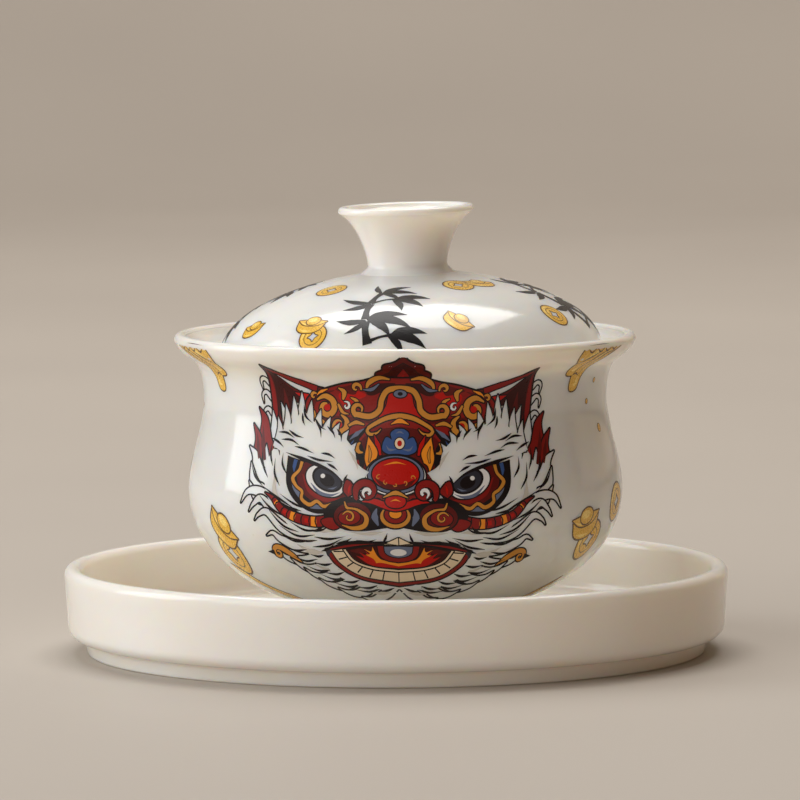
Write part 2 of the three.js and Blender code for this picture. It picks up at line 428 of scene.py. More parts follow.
def lid_outline():
    """Half of the lid's section, from inside the dome round the edge to the dish in the knob."""
    radius, wall, edge = mm("lid_radius"), mm("lid_wall"), LID_EDGE
    knob, neck, crest, rise = mm("knob_radius"), mm("knob_neck"), mm("lid_dome"), mm("knob_height")
    top, spread, lip = crest + rise, knob - neck, KNOB_LIP
    dome = lid_dome()
    shoulder = dome[dome[:, 0] > neck + 1.5]
    inside = offset_left(dome, wall)
    inside = inside[inside[:, 0] > 0.05]
    return joined(
        (0.0, inside[-1][1]), inside[::-1],
        arc((radius - edge, 0.0), edge, 180 + LID_EDGE_LEAN, 360 + LID_EDGE_LEAN, 16),
        shoulder,
        bezier(shoulder[-1], (neck + 0.5, crest + 0.02), (neck, crest + 0.2), (neck, crest + 0.9), 8),
        bezier((neck, crest + 0.9), (neck + 0.05 * spread, crest + 0.36 * rise),
               (neck + 0.5 * spread, crest + 0.79 * rise), (knob - 0.2, top - 1.5 * lip), 40),
        arc((knob - lip, top - lip), lip, -20, 90, 14),
        bezier((knob - 2 * lip, top - 0.18), (0.75 * knob, top - KNOB_DISH), (0.4 * knob, top - KNOB_DISH),
               (0.0, top - KNOB_DISH), 36),
    )


# ---------------------------------------------------------------- turned meshes

def hung(name, data):
    """A new object in the scene that shows this mesh, light or camera."""
    piece = bpy.data.objects.new(name, data)
    bpy.context.scene.collection.objects.link(piece)
    return piece


def turned_piece(name, outline, materials, bare_below=None, centre=(0.0, 0.0, 0.0), tilt=0.0):
    """Turns an outline about the axis. It starts and ends on the axis, so the mesh is closed.

    Faces whose outline lies below bare_below get the second material.
    """
    steps = bpy.context.scene.gaiwan_sizes.around
    outline = np.array(outline)
    outline[0][0] = outline[-1][0] = 0.0
    angles = np.arange(steps) * 2 * math.pi / steps
    rings = outline[1:-1]
    points = [[0.0, 0.0, outline[0][1]]]
    for r, z in rings:
        points += np.column_stack([r * np.cos(angles), r * np.sin(angles), np.full(steps, z)]).tolist()
    points.append([0.0, 0.0, outline[-1][1]])
    around = np.arange(steps)
    ahead = (around + 1) % steps
    faces, heights = [], []
    last = len(rings) - 1
    faces += np.column_stack([np.zeros(steps, int), 1 + ahead, 1 + around]).tolist()
    heights += [outline[1][1]] * steps
    for i in range(last):
        low, high = 1 + i * steps, 1 + (i + 1) * steps
        faces += np.column_stack([low + around, low + ahead, high + ahead, high + around]).tolist()
        heights += [max(rings[i][1], rings[i + 1][1])] * steps
    tip, low = len(points) - 1, 1 + last * steps
    faces += np.column_stack([np.full(steps, tip), low + around, low + ahead]).tolist()
    heights += [outline[-1][1]] * steps
    mesh = bpy.data.meshes.new(name)
    mesh.from_pydata((np.array(points) * MM).tolist(), [], faces)
    mesh.transform(Matrix.Translation(Vector(centre) * MM) @ Matrix.Rotation(tilt, 4, "Y"))
    for material in materials:
        mesh.materials.append(material)
    if bare_below is not None:
        mesh.polygons.foreach_set("material_index", (np.array(heights) < bare_below).astype(int))
    mesh.polygons.foreach_set("use_smooth", [True] * len(faces))
    mesh.validate()
    return hung(name, mesh)


def lid_origin():
    """The middle of the lid's rounded edge, in millimetres, from where the CAD lid lies."""
    lift = LID_EDGE + (mm("lid_radius") - LID_EDGE) * math.sin(bpy.context.scene.gaiwan_sizes.lid_tilt)
    return (LID_BOX[0].x + LID_BOX[1].x) / 2 / MM, 0.0, LID_BOX[0].z / MM + lift


# ---------------------------------------------------------------- drawing tools, in millimetres on the glaze

PEN = 0.4
BARE = "bare"


def even(line, step=PEN):
    """The same line with evenly spaced points."""
    reach = np.r_[0.0, np.cumsum(np.hypot(*np.diff(line, axis=0).T))]
    count = max(2, int(math.ceil(reach[-1] / step)) + 1)
    at = np.linspace(0.0, reach[-1], count)
    return np.column_stack([np.interp(at, reach, line[:, 0]), np.interp(at, reach, line[:, 1])])


def run(points, step=PEN):
    """A smooth open line through a few points."""
    p = np.array(points, float)
    if len(p) == 2:
        return even(p, step)
    p = np.vstack([2 * p[0] - p[1], p, 2 * p[-1] - p[-2]])
    t = np.linspace(0.0, 1.0, 13)[:, None]
    pieces = [0.5 * (2 * b + (c - a) * t + (2 * a - 5 * b + 4 * c - d) * t ** 2
            + (3 * b - a - 3 * c + d) * t ** 3) for a, b, c, d in zip(p, p[1:], p[2:], p[3:])]
    return even(joined(*pieces), step)


def shape(*runs):
    """A closed outline from smooth runs, each starting at the corner where the last one ended."""
    parts, start = [], []
    for points in runs:
        parts.append(run(start + points)[:-1])
        start = points[-1:]
    return np.vstack(parts)


def pebble(points):
    """A smooth closed outline through a few points."""
    p = list(points)
    line = run(p[-2:] + p + p[:2])
    first = np.argmin(np.hypot(*(line - np.array(p[0])).T)[:len(line) // 2])
    last = len(line) // 2 + np.argmin(np.hypot(*(line - np.array(p[0])).T)[len(line) // 2:])
    return line[first:last]


def oval(x, y, rx, ry, turn=0.0):
    """A closed oval about a middle, with its two half widths."""
    steps = max(14, int(2 * math.pi * max(rx, ry) / PEN))
    angles = np.arange(steps) * 2 * math.pi / steps
    return turned(np.column_stack([rx * np.cos(angles), ry * np.sin(angles)]), turn) + [x, y]


def turned(outline, degrees):
    """The points turned about the middle of the drawing."""
    c, s = math.cos(math.radians(degrees)), math.sin(math.radians(degrees))
    return np.array(outline) @ np.array([[c, s], [-s, c]])


def band(points, widths, step=PEN):
    """A brush stroke through a few points, with widths spread along it."""
    line = run(points, step)
    half = np.interp(np.linspace(0, 1, len(line)), np.linspace(0, 1, len(widths)), widths) / 2
    along = np.gradient(line, axis=0)
    side = np.column_stack([-along[:, 1], along[:, 0]]) / np.hypot(*along.T)[:, None] * half[:, None]
    return np.vstack([line + side, (line - side)[::-1]])


def whorl(x, y, radius, start, turns, tight=0.25):
    """Points along a curl that winds in towards its middle."""
    count = max(5, int(abs(turns) * 9))
    t = np.linspace(0.0, 1.0, count)
    reach = radius * (1 + (tight - 1) * t ** 0.9)
    angles = np.radians(start) + 2 * math.pi * turns * t
    return np.column_stack([x + reach * np.cos(angles), y + reach * np.sin(angles)]).tolist()


def mirrored(outline):
    """The same outline on the other side of the middle line, still wound the same way."""
    return np.array(outline)[::-1] * [-1, 1]


def whole(*runs):
    """A closed outline from its right half, which runs from the top of the middle line down to its foot."""
    right = np.vstack([shape(*runs), runs[-1][-1:]])
    return np.vstack([right, mirrored(right)[1:-1]])


def grown(outline, width):
    """The outline moved out by a width, with round corners."""
    p = np.array(outline)
    keep = np.hypot(*(p - np.roll(p, 1, axis=0)).T) > 1e-6
    p = p[keep]
    if np.sum(p[:, 0] * np.roll(p[:, 1], -1) - np.roll(p[:, 0], -1) * p[:, 1]) < 0:
        p = p[::-1]
    edge = np.roll(p, -1, axis=0) - p
    out = np.column_stack([edge[:, 1], -edge[:, 0]]) / np.hypot(*edge.T)[:, None]
    before = np.roll(out, 1, axis=0)
    points = []
    for spot, first, second in zip(p, before, out):
        turn = math.atan2(first[0] * second[1] - first[1] * second[0], float(first @ second))
        if turn > 0.5:
            for share in np.linspace(0, 1, 2 + int(turn / 0.7)):
                c, s = math.cos(turn * share), math.sin(turn * share)
                points.append(spot + width * np.array([c * first[0] - s * first[1], s * first[0]
                        + c * first[1]]))
        elif turn < -0.5:
            points += [spot + width * first, spot + width * second]
        else:
            middle = first + second
            points.append(spot + width * middle / np.hypot(*middle))
    return np.array(points)


class Drawing:
    """Coats of enamel in the order they are laid, each an outline and the name of its colour."""

    def __init__(self, line="ink", weight=1.0):
        self.coats = []
        self.line = line
        self.weight = weight

    def lay(self, outline, shade, edge=0.0):
        if edge:
            self.coats.append((grown(outline, edge * self.weight), self.line))
        self.coats.append((np.array(outline), shade))

    def pair(self, outline, shade, edge=0.0):
        self.lay(outline, shade, edge)
        self.lay(mirrored(outline), shade, edge)

    def stroke(self, points, widths, shade, edge=0.0):
        """A brush stroke through a few points."""
        self.lay(band(points, widths), shade, edge)

    def strokes(self, points, widths, shade, edge=0.0):
        """The same brush stroke on both sides."""
        self.pair(band(points, widths), shade, edge)

    def strand(self, points, width, shade, edge=0.24):
        """A lock of fur on both sides, full at its root and drawn out to a point."""
        self.pair(band(points, (0.7 * width, width, 0.85 * width, 0.5 * width, 0.0)), shade, edge)

    def hair(self, *strokes, width=0.36):
        """Thin pen strokes on both sides, thickest a third of the way along."""
        for points in strokes:
            w = width * self.weight
            self.pair(band(points, (0.05, 0.9 * w, w, 0.5 * w, 0.0)), self.line)

    def place(self, other, x, y, turn=0.0, size=1.0):
        """Another drawing, scaled, turned and moved onto this one. A size below nothing also flips it."""
        flip = [-1, 1] if size < 0 else [1, 1]
        self.coats += [(turned(outline * flip * abs(size), turn) + [x, y], shade)
                for outline, shade in other.coats]


def inside(points, outline):
    """Which points an outline winds round."""
    x, y = points[:, 0], points[:, 1]
    winding = np.zeros(len(points), int)
    for (x0, y0), (x1, y1) in zip(outline, np.roll(outline, -1, axis=0)):
        if y0 == y1:
            continue
        side = (x1 - x0) * (y - y0) - (x - x0) * (y1 - y0)
        winding += ((y0 <= y) & (y < y1) & (side > 0)).astype(int)
        winding -= ((y1 <= y) & (y < y0) & (side < 0)).astype(int)
    return winding != 0


def enamel_piece(name, drawing, surface, materials, weave=1.1):
    """Cuts a drawing into one layer with only the topmost colour at each spot, and fires it on a surface.

    surface gives places and outward directions for points of the drawing. The colours come out as thin closed
    skins, meshed in triangles about one weave across.
    """
    points, edges = [], []
    for outline, shade in drawing.coats:
        first = len(points)
        count = len(outline)
        points += [tuple(p) for p in np.round(outline, 4)]
        edges += [(first + i, first + (i + 1) % count) for i in range(count)]
    everything = np.array(points)
    low, high = everything.min(0) - 1, everything.max(0) + 1
    grid = [(x, y) for x in np.arange(low[0], high[0], weave) for y in np.arange(low[1], high[1], weave)]
    flat, _, triangles, *_ = delaunay_2d_cdt([Vector(p) for p in points + grid], edges, [], 0, 1e-5)
    flat = np.array([tuple(v) for v in flat])
    triangles = np.array(triangles)
    centres = flat[triangles].mean(1)
    shade_names = sorted({shade for _, shade in drawing.coats} - {BARE})
    bare = len(shade_names)
    top = np.full(len(triangles), -1)
    for outline, shade in reversed(drawing.coats):
        boxed = (centres > outline.min(0)).all(1) & (centres < outline.max(0)).all(1)
        near = ((top < 0) & boxed).nonzero()[0]
        if len(near):
            top[near[inside(centres[near], outline)]] = bare if shade == BARE else shade_names.index(shade)
    painted = (top >= 0) & (top < bare)
    triangles, top = triangles[painted], top[painted]
    used = np.unique(triangles)
    new = np.full(len(flat), -1)
    new[used] = np.arange(len(used))
    triangles, flat = new[triangles], flat[used]
    corners = flat[triangles]
    first, second = corners[:, 1] - corners[:, 0], corners[:, 2] - corners[:, 0]
    flipped = first[:, 0] * second[:, 1] - first[:, 1] * second[:, 0] < 0
    triangles[flipped] = triangles[flipped][:, ::-1]
    sides = np.vstack([triangles[:, [0, 1]], triangles[:, [1, 2]], triangles[:, [2, 0]]])
    owners = np.tile(np.arange(len(triangles)), 3)
    keys = np.sort(sides, axis=1)
    _, index, counts = np.unique(keys, axis=0, return_index=True, return_counts=True)
    rim = sides[index[counts == 1]]
    rim_shade = top[owners[index[counts == 1]]]
    places, outward = surface(flat)
    thick = mm("enamel")
    count = len(flat)
    faces = triangles.tolist() + (triangles[:, ::-1] + count).tolist()
    faces += np.column_stack([rim[:, 1], rim[:, 0], rim[:, 0] + count, rim[:, 1] + count]).tolist()
    mesh = bpy.data.meshes.new(name)
    mesh.from_pydata((np.vstack([places + outward * thick,
            places - outward * ENAMEL_BURIED * thick]) * MM).tolist(), [], faces)
    for shade in shade_names:
        mesh.materials.append(materials[shade])
    mesh.polygons.foreach_set("material_index", np.r_[top, top, rim_shade])
    mesh.polygons.foreach_set("use_smooth", [True] * len(faces))
    normals = np.vstack([outward[triangles.ravel()], -outward[triangles[:, ::-1].ravel()],
                         np.zeros((4 * len(rim), 3))])
    mesh.normals_split_custom_set(normals.tolist())
    return hung(name, mesh)


def bowl_surface(middle):
    """Wraps a drawing round the bowl: across is the way round at the wrap radius, up is up from the table."""
    outside = bowl_outside() + [0.0, mm("bowl_base")]
    slopes = np.gradient(outside[:, 0]) / np.gradient(outside[:, 1])

    def surface(points):
        angle = (points[:, 0] + middle) / WRAP_RADIUS
        radius = np.interp(points[:, 1], outside[:, 1], outside[:, 0])
        slope = np.interp(points[:, 1], outside[:, 1], slopes)
        across, front = np.sin(angle), -np.cos(angle)
        places = np.column_stack([mm("bowl_offset") + radius * across, radius * front, points[:, 1]])
        outward = np.column_stack([across, front, -slope])
        return places, outward / np.linalg.norm(outward, axis=1)[:, None]
    return surface


def lid_surface():
    """Lays a drawing over the dome: its middle is the top of the dome, and down the page is the front."""
    dome = lid_dome()[::-1]
    reach = np.r_[0.0, np.cumsum(np.hypot(*np.diff(dome, axis=0).T))]
    along = np.gradient(dome, axis=0)
    along /= np.hypot(*along.T)[:, None]
    tilt = bpy.context.scene.gaiwan_sizes.lid_tilt
    lean = np.array(Matrix.Rotation(-tilt, 3, "Y"))

    def surface(points):
        far = np.hypot(*points.T)
        direction = points / np.maximum(far, 1e-9)[:, None]
        radius, height = np.interp(far, reach, dome[:, 0]), np.interp(far, reach, dome[:, 1])
        out, up = -np.interp(far, reach, along[:, 1]), np.interp(far, reach, along[:, 0])
        places = np.column_stack([direction * radius[:, None], height])
        outward = np.column_stack([direction * out[:, None], up])
        return places @ lean.T + np.array(lid_origin()), outward @ lean.T
    return surface


# ---------------------------------------------------------------- the painted motifs

def coin(radius=3.1):
    """A plain round coin with a raised rim and a square hole that the glaze shows through."""
    d = Drawing("bronze", 1.4)
    r = radius
    d.lay(oval(0, 0, r, r), "gold", 0.2)
    d.stroke([(-0.72 * r, -0.42 * r), (-0.84 * r, 0.1 * r), (-0.42 * r, 0.74 * r), (0.2 * r, 0.83 * r)],
            (0, 0.2 * r, 0.22 * r, 0), "gilt")
    d.lay(oval(0, 0, 0.7 * r, 0.7 * r), "bronze")
    d.lay(oval(0, 0, 0.65 * r, 0.65 * r), "gold")
    d.stroke([(-0.5 * r, -0.2 * r), (-0.4 * r, 0.36 * r), (0.1 * r, 0.54 * r)], (0, 0.12 * r, 0), "gilt")
    tip, waist = 0.4 * r, 0.15 * r
    sides = [[(waist * (x0 + x1), waist * (y0 + y1)), (tip * x1, tip * y1)]
            for x0, y0, x1, y1 in ((1, 0, 0, 1), (0, 1, -1, 0), (-1, 0, 0, -1), (0, -1, 1, 0))]
    hole = shape([(tip, 0)] + sides[0], *sides[1:])
    d.lay(turned(hole, 12), BARE, 0.14)
    return d


def ingot(width=7.2):
    """A boat-shaped ingot seen from a little above: hull, turned-up brim and a round top."""
    d = Drawing("bronze", 1.4)
    w = width / 2
    brim = [(-w, 0.42 * w), (-0.55 * w, 0.06 * w), (0, -0.04 * w), (0.55 * w, 0.06 * w), (w, 0.42 * w)]
    back = [(0.5 * w, 0.46 * w), (0, 0.5 * w), (-0.5 * w, 0.46 * w), (-w, 0.42 * w)]
    d.lay(shape([(-0.94 * w, 0.3 * w), (-0.8 * w, -0.3 * w), (-0.35 * w, -0.58 * w), (0.35 * w, -0.58 * w),
            (0.8 * w, -0.3 * w), (0.94 * w, 0.3 * w)], [(0, 0), (-0.94 * w, 0.3 * w)]), "gold", 0.2)
    d.stroke([(-0.66 * w, -0.3 * w), (-0.2 * w, -0.46 * w), (0.36 * w, -0.46 * w)], (0, 0.16 * w, 0), "gilt")
    d.lay(shape(brim, back), "gold", 0.17)
    d.stroke([(-0.84 * w, 0.3 * w), (-0.4 * w, 0.1 * w), (0.2 * w, 0.06 * w)], (0, 0.12 * w, 0), "gilt")
    d.lay(oval(0.02 * w, 0.4 * w, 0.46 * w, 0.36 * w), "gold", 0.17)
    d.lay(oval(-0.06 * w, 0.48 * w, 0.3 * w, 0.19 * w), "gilt")
    return d


def hoard():
    """An ingot lying on a coin."""
    d = Drawing("bronze", 1.4)
    d.place(coin(), 1.3, -1.9, 0)
    d.place(ingot(), -0.6, 1.4, -6)
    return d


def rim_leaf():
    """A gold cluster of cloud lobes that hangs from under the rim."""
    d = Drawing("bronze", 1.3)
    d.lay(shape([(-9, 0.5), (-5.2, -1), (-2.4, -3), (-0.8, -5.6)], [(0.2, -8), (2.6, -8.2), (2.7, -5.2)],
            [(4.8, -4.8), (4.2, -2.6)], [(5.2, -1.2), (4.4, 0.9)], [(-2, 1), (-9, 0.5)]), "gold", 0.22)
    for points, width in (
            ([(-5.4, -0.2), (-2.2, -1.4), (-0.2, -4.6)], 0.9), ([(0.3, -5.4), (0.6, -7), (1.6, -7.2)], 1),
            ([(-2.4, 0.3), (0.6, -0.6), (3, -1.6)], 1.1), ([(2, -3.2), (3, -4), (3.8, -4)], 0.7)):
        d.stroke(points, (0.1, width, 0.1), "gilt")
    for points in (
            [(-6.4, -0.3), (-3.2, -1), (-0.8, -3), (0.6, -5.2)],
            [(-3.6, -0.2), (-0.6, -1.4), (1.4, -3.4), (2.6, -5.2)], [(-0.6, -0.4), (2, -1.6), (4.1, -2.6)],
            [(0.6, -5.2), (1.6, -4.7), (2.6, -5.2)], [(-7, 0.5), (-6, -0.1), (-4.8, 0.4)],
            [(-4.6, 0.5), (-3.4, -0.3), (-2.2, 0.4)], [(-2, 0.6), (-0.8, -0.3), (0.6, 0.5)],
            [(0.8, 0.6), (2.2, -0.3), (3.6, 0.6)]):
        d.stroke(points, (0.15, 0.42, 0.1), "bronze")
    return d


def ribbon():
    """A long gold ribbon that sweeps along the foot of the bowl."""
    d = Drawing("bronze", 1.3)
    d.stroke([(-11.5, 5.6), (-9, 4.4), (-5, 1.6), (0.5, -1), (6.5, -2.4)], (0.2, 1.8, 1.5, 1.9, 0.2),
            "gold", 0.2)
    d.stroke([(-10.4, 5.1), (-8, 4), (-4.6, 1.8)], (0.1, 0.7, 0), "gilt")
    d.stroke([(-3, 0.6), (0.6, -1), (4.6, -2)], (0, 0.35, 0), "bronze")
    return d


def bamboo():
    """A brushed spray of bamboo: jointed canes and groups of pointed leaves."""
    d = Drawing("brush")
    for points, w in (
            ([(-2.6, -10.6), (-3.3, -7.4), (-3.6, -4.2)], 1.9),
            ([(-3.7, -3.4), (-3.8, -0.6), (-3.4, 2.4)], 1.7), ([(-3.3, 3.2), (-2.7, 5.6), (-1.6, 8)], 1.4),
            ([(-2.2, -9.8), (0.2, -8.9), (2.4, -8.4)], 0.8), ([(-3.2, 2.8), (-0.6, 4.2), (1.6, 4.6)], 0.7)):
        d.stroke(points, (1.15 * w, 0.8 * w, 0.75 * w, 1.1 * w), "brush")
    for x, y, reach, angle, fat in (
            (-3.3, 3, 7.2, 158, 1), (-3.3, 2.6, 6, 200, 1.1), (-3.6, -3.8, 6.6, 176, 1.1),
            (-3.5, -4, 5.6, 220, 0.9), (-1.6, 8, 6.4, 38, 1.1), (-1.6, 7.8, 7.2, 4, 1.2),
            (-1.8, 7.6, 5.4, -34, 0.9), (-1.8, 8, 5, 112, 0.8), (1.4, 4.6, 7.4, 12, 1.3),
            (1.4, 4.4, 7, -18, 1.3), (1, 4.2, 5.4, -56, 1), (-3.4, -3.4, 8.6, 14, 1.4),
            (-3.4, -3.6, 10.4, -10, 1.6), (-3.2, -3.8, 7.4, -38, 1.3), (2.2, -8.4, 8, 14, 1.4),
            (2.2, -8.6, 8.6, -10, 1.5), (1.8, -8.8, 5.6, -44, 1)):
        line = turned([(0, 0), (0.3 * reach, 0.07 * reach), (0.65 * reach, 0.04 * reach),
                (reach, -0.08 * reach)], angle) + [x, y]
        d.stroke(line, (0.2, 1.45 * fat, 1.6 * fat, 0.9 * fat, 0), "brush")
    return d


def ears(d):
    """Pointed ears with fur inside them and curls behind."""
    for x, y in ((29.3, 58.2), (29.4, 55.4), (29, 52)):
        d.strand([(x, y - 1), (x + 1.7, y + 0.7), (x + 2.9, y + 0.1), (x + 2.7, y - 1.6)], 0.9, BARE)
    sides = shape([(16.5, 57.6), (21.2, 58.4), (25.7, 60), (29.4, 61.9)],
            [(29.8, 57.7), (29.5, 52.8), (29.2, 47)])
    root = shape([(29.4, 47), (22, 48.5), (16.5, 57.6)])
    d.pair(np.vstack([sides, root]), "maroon", 0.3)
    sides = shape([(20.2, 55), (24.3, 57.3), (29, 61)], [(28.5, 56.5), (27.9, 49)])
    root = shape([(28, 49), (23.5, 50), (20.2, 55)])
    d.pair(np.vstack([sides, root]), "umber")
    d.strokes([(18.1, 57.4), (22.6, 58.5), (26.2, 59.9), (29, 61.3)], (1.3, 1.7, 1.1, 0.2), "crimson", 0.2)
    d.strokes([(29.2, 60.5), (29.2, 56.7), (28.7, 51.6), (28.5, 48.6)], (0.1, 1, 1.1, 0.2), "crimson")
    d.strokes([(16.6, 55.4), (20.5, 56.9), (24.2, 58.3), (27.5, 60.1)], (0.9, 1.1, 0.8, 0), BARE, 0.2)
    d.strokes([(17.6, 53.4), (20.4, 55.4), (23.5, 56.5)], (0.4, 1.9, 0), "scarlet", 0.2)
    d.strokes([(26.3, 57.2), (25.8, 54), (25.6, 50.6)], (0.1, 1.3, 0.8), "maroon")
    d.strokes([(19.2, 51.4), (21.8, 53.8), (24, 54.2)], (0.8, 1.2, 0), BARE, 0.18)
    for points, width in (
            ([(27.6, 44), (28.6, 48), (29.6, 52.6)], 2.6), ([(25, 44), (25.4, 49), (27.3, 54.4)], 2.8),
            ([(22.2, 45), (22.4, 49.6), (24.2, 53.8)], 2.6), ([(19.6, 46), (19.6, 49.8), (21.4, 53)], 2.2)):
        d.strand(points, width, BARE)
    d.strokes([(26.6, 46.6), (27.2, 50), (28, 53)], (0.1, 0.9, 0), "maroon", 0.15)


def mane(d):
    """Locks of fur round the sides and down to the chin, with the curled ends of the whiskers."""
    for points, width, shade in (
            ([(28, 42.5), (30.8, 46), (31.8, 50.4), (33.5, 52.8)], 3.6, "crimson"),
            ([(30, 39), (32.2, 42.6), (33, 46.6), (35, 49.4)], 2.8, "crimson"),
            ([(27, 40), (29.6, 42), (30.4, 45.6)], 2.4, BARE),
            ([(28.6, 37.6), (31.6, 40.4), (32.4, 44)], 2.4, BARE),
            ([(28.5, 38), (31.5, 40.4), (33, 43.2), (35.2, 44.9)], 2.8, BARE),
            ([(28, 36), (31, 36.8), (32.4, 38.4), (33.8, 41.8)], 2.6, BARE),
            ([(27, 34.6), (30.5, 34.8), (31.8, 35.8), (33.5, 38)], 2.4, BARE),
            ([(20, 31), (25.5, 33.6), (30.4, 36), (33.6, 35.8), (35.5, 33.4)], 3, BARE),
            ([(19, 29.6), (25, 31.2), (29.6, 34.6), (31.8, 33.5), (33.2, 31.8)], 2.8, BARE),
            ([(18, 27.6), (24, 28.8), (28.2, 32), (30.5, 31.4), (31.8, 30.1)], 2.6, BARE),
            ([(16, 25.6), (21.5, 25.4), (25.6, 26.6), (27.4, 27.8), (29.2, 27.1)], 2.6, BARE),
            ([(16, 23.6), (21, 22.2), (25.5, 22.6), (27.4, 24.6)], 2.4, BARE),
            ([(15, 21.6), (19.6, 20.4), (22.6, 21), (24.6, 22.6)], 2.4, BARE),
            ([(13, 20.4), (17.4, 18.8), (20.4, 19.2), (22.2, 20.6)], 2.2, BARE),
            ([(10, 18.6), (14.6, 16.9), (17.8, 17.2), (19.6, 18.4)], 2.2, BARE),
            ([(6, 17.4), (10.6, 15.4), (13.6, 15.4), (15.8, 16.4)], 2.2, BARE),
            ([(0.6, 17.4), (4, 15.2), (7.4, 13.9), (10.6, 14.4)], 2.4, BARE)):
        d.strand(points, width, shade, 0.26)
    d.strokes([(30.1, 42.4), (31.4, 45.8), (32.1, 49.4)], (0.6, 1.2, 0), "maroon")
    d.strokes([(31.8, 42.6), (32.8, 45.4), (33.7, 48)], (0.5, 0.9, 0), "maroon")
    curl = whorl(27.4, 23.6, 1.25, 95, -1.15)
    d.strokes([(22, 21.8), (24, 23.4), (26, 24.6)] + curl, (0, 1.1, 1.2, 0.9, 0.6, 0.3), "amber", 0.2)
    d.pair(shape([(28.4, 24.2), (30.3, 23.6)], [(28.4, 22.9)], [(28.4, 24.2)]), "ink")


def face(d):
    """The furry ground that the features lie on, left as bare glaze, with strokes in its folds."""
    d.lay(pebble([(0, 54), (12, 52), (20, 50), (26.5, 47), (29.5, 42), (29, 37), (27, 33.5), (23.5, 30),
            (20.5, 26), (18.4, 21.8), (12, 18.4), (0, 16.6), (-12, 18.4), (-18.4, 21.8), (-20.5, 26),
            (-23.5, 30), (-27, 33.5), (-29, 37), (-29.5, 42), (-26.5, 47), (-20, 50), (-12, 52)]), BARE)
    for points, width in (
            ([(24.6, 33.4), (26.4, 36), (27, 39.6)], 1.3), ([(12.6, 29), (17, 29.3), (20.6, 30.6)], 1.1),
            ([(16.2, 24.4), (19.2, 24.4), (22, 25.8)], 1.3),
            ([(13.4, 20.8), (16.6, 20.6), (19.4, 21.8)], 0.9), ([(3, 29.2), (6.6, 28.7), (10, 29)], 0.7),
            ([(2, 15.8), (5.6, 15.5), (9, 16.3)], 0.8)):
        d.strokes(points, (0, width, 0.6 * width, 0), "shade")
    d.hair([(22, 33.4), (26, 35.4), (30.4, 37.6)], [(24, 31.4), (27.4, 33), (30.6, 35.6)],
            [(21, 28.4), (24.6, 29.6), (28.2, 33)], [(17.4, 28), (21.4, 27.6), (25.6, 29.6)],
            [(19, 26.6), (22.2, 26.4), (25, 27.3)], [(17, 26.9), (19.6, 26.6), (22.4, 27)],
            [(19.8, 24.8), (22.6, 24.4), (25.4, 25)], [(18, 22.8), (21, 22.2), (24, 23.2)],
            [(15.4, 20.6), (18.6, 20.2), (21.4, 21.2)], [(12.6, 19), (15.6, 18.4), (18.8, 19.4)],
            [(9, 17.6), (12.6, 16.8), (16.2, 17.6)], [(4.6, 16.6), (8, 15.8), (11.6, 16.2)],
            [(24, 40), (25.4, 42), (25.6, 44.2)], [(25.4, 37.6), (27, 40), (27.4, 43)],
            [(20.6, 32.6), (23.6, 33.4), (26.8, 36)], [(16, 29.2), (19.4, 28.9), (23, 30.6)],
            [(28.6, 39), (30.4, 41.6), (31.2, 44.6)], [(27.8, 41.4), (28.8, 43.8), (28.8, 46.6)],
            [(26.4, 43.6), (27, 45.6), (26.6, 48.2)], [(29.8, 37.4), (32, 39), (33.6, 41.4)])


def crown(d):
    """The stepped peak at the top of the forehead."""
    d.lay(whole([(0, 65), (1.2, 63.9), (2.3, 63.4)], [(3.7, 63), (4, 61.9)], [(5.4, 61.2), (5.4, 60)],
            [(6.6, 58.6), (5.4, 57), (0, 57)]), "maroon", 0.3)
    d.lay(whole([(0, 63.6), (2, 62.3), (2.8, 61.4)], [(4, 60.8), (4.4, 59.4)], [(4.6, 57.2), (0, 56.8)]),
            "umber", 0.12)
    d.strokes([(1, 58.2), (2.6, 59), (3.2, 60.6)], (0.2, 0.8, 0), "crimson")
    d.lay(shape([(-1.2, 57.4), (-1.5, 60), (0, 62.4)], [(1.5, 60), (1.2, 57.4)], [(-1.2, 57.4)]),
            "crimson", 0.15)
    d.lay(shape([(-0.5, 57.4), (-0.6, 59.6), (0, 61)], [(0.6, 59.6), (0.5, 57.4)], [(-0.5, 57.4)]), "scarlet")


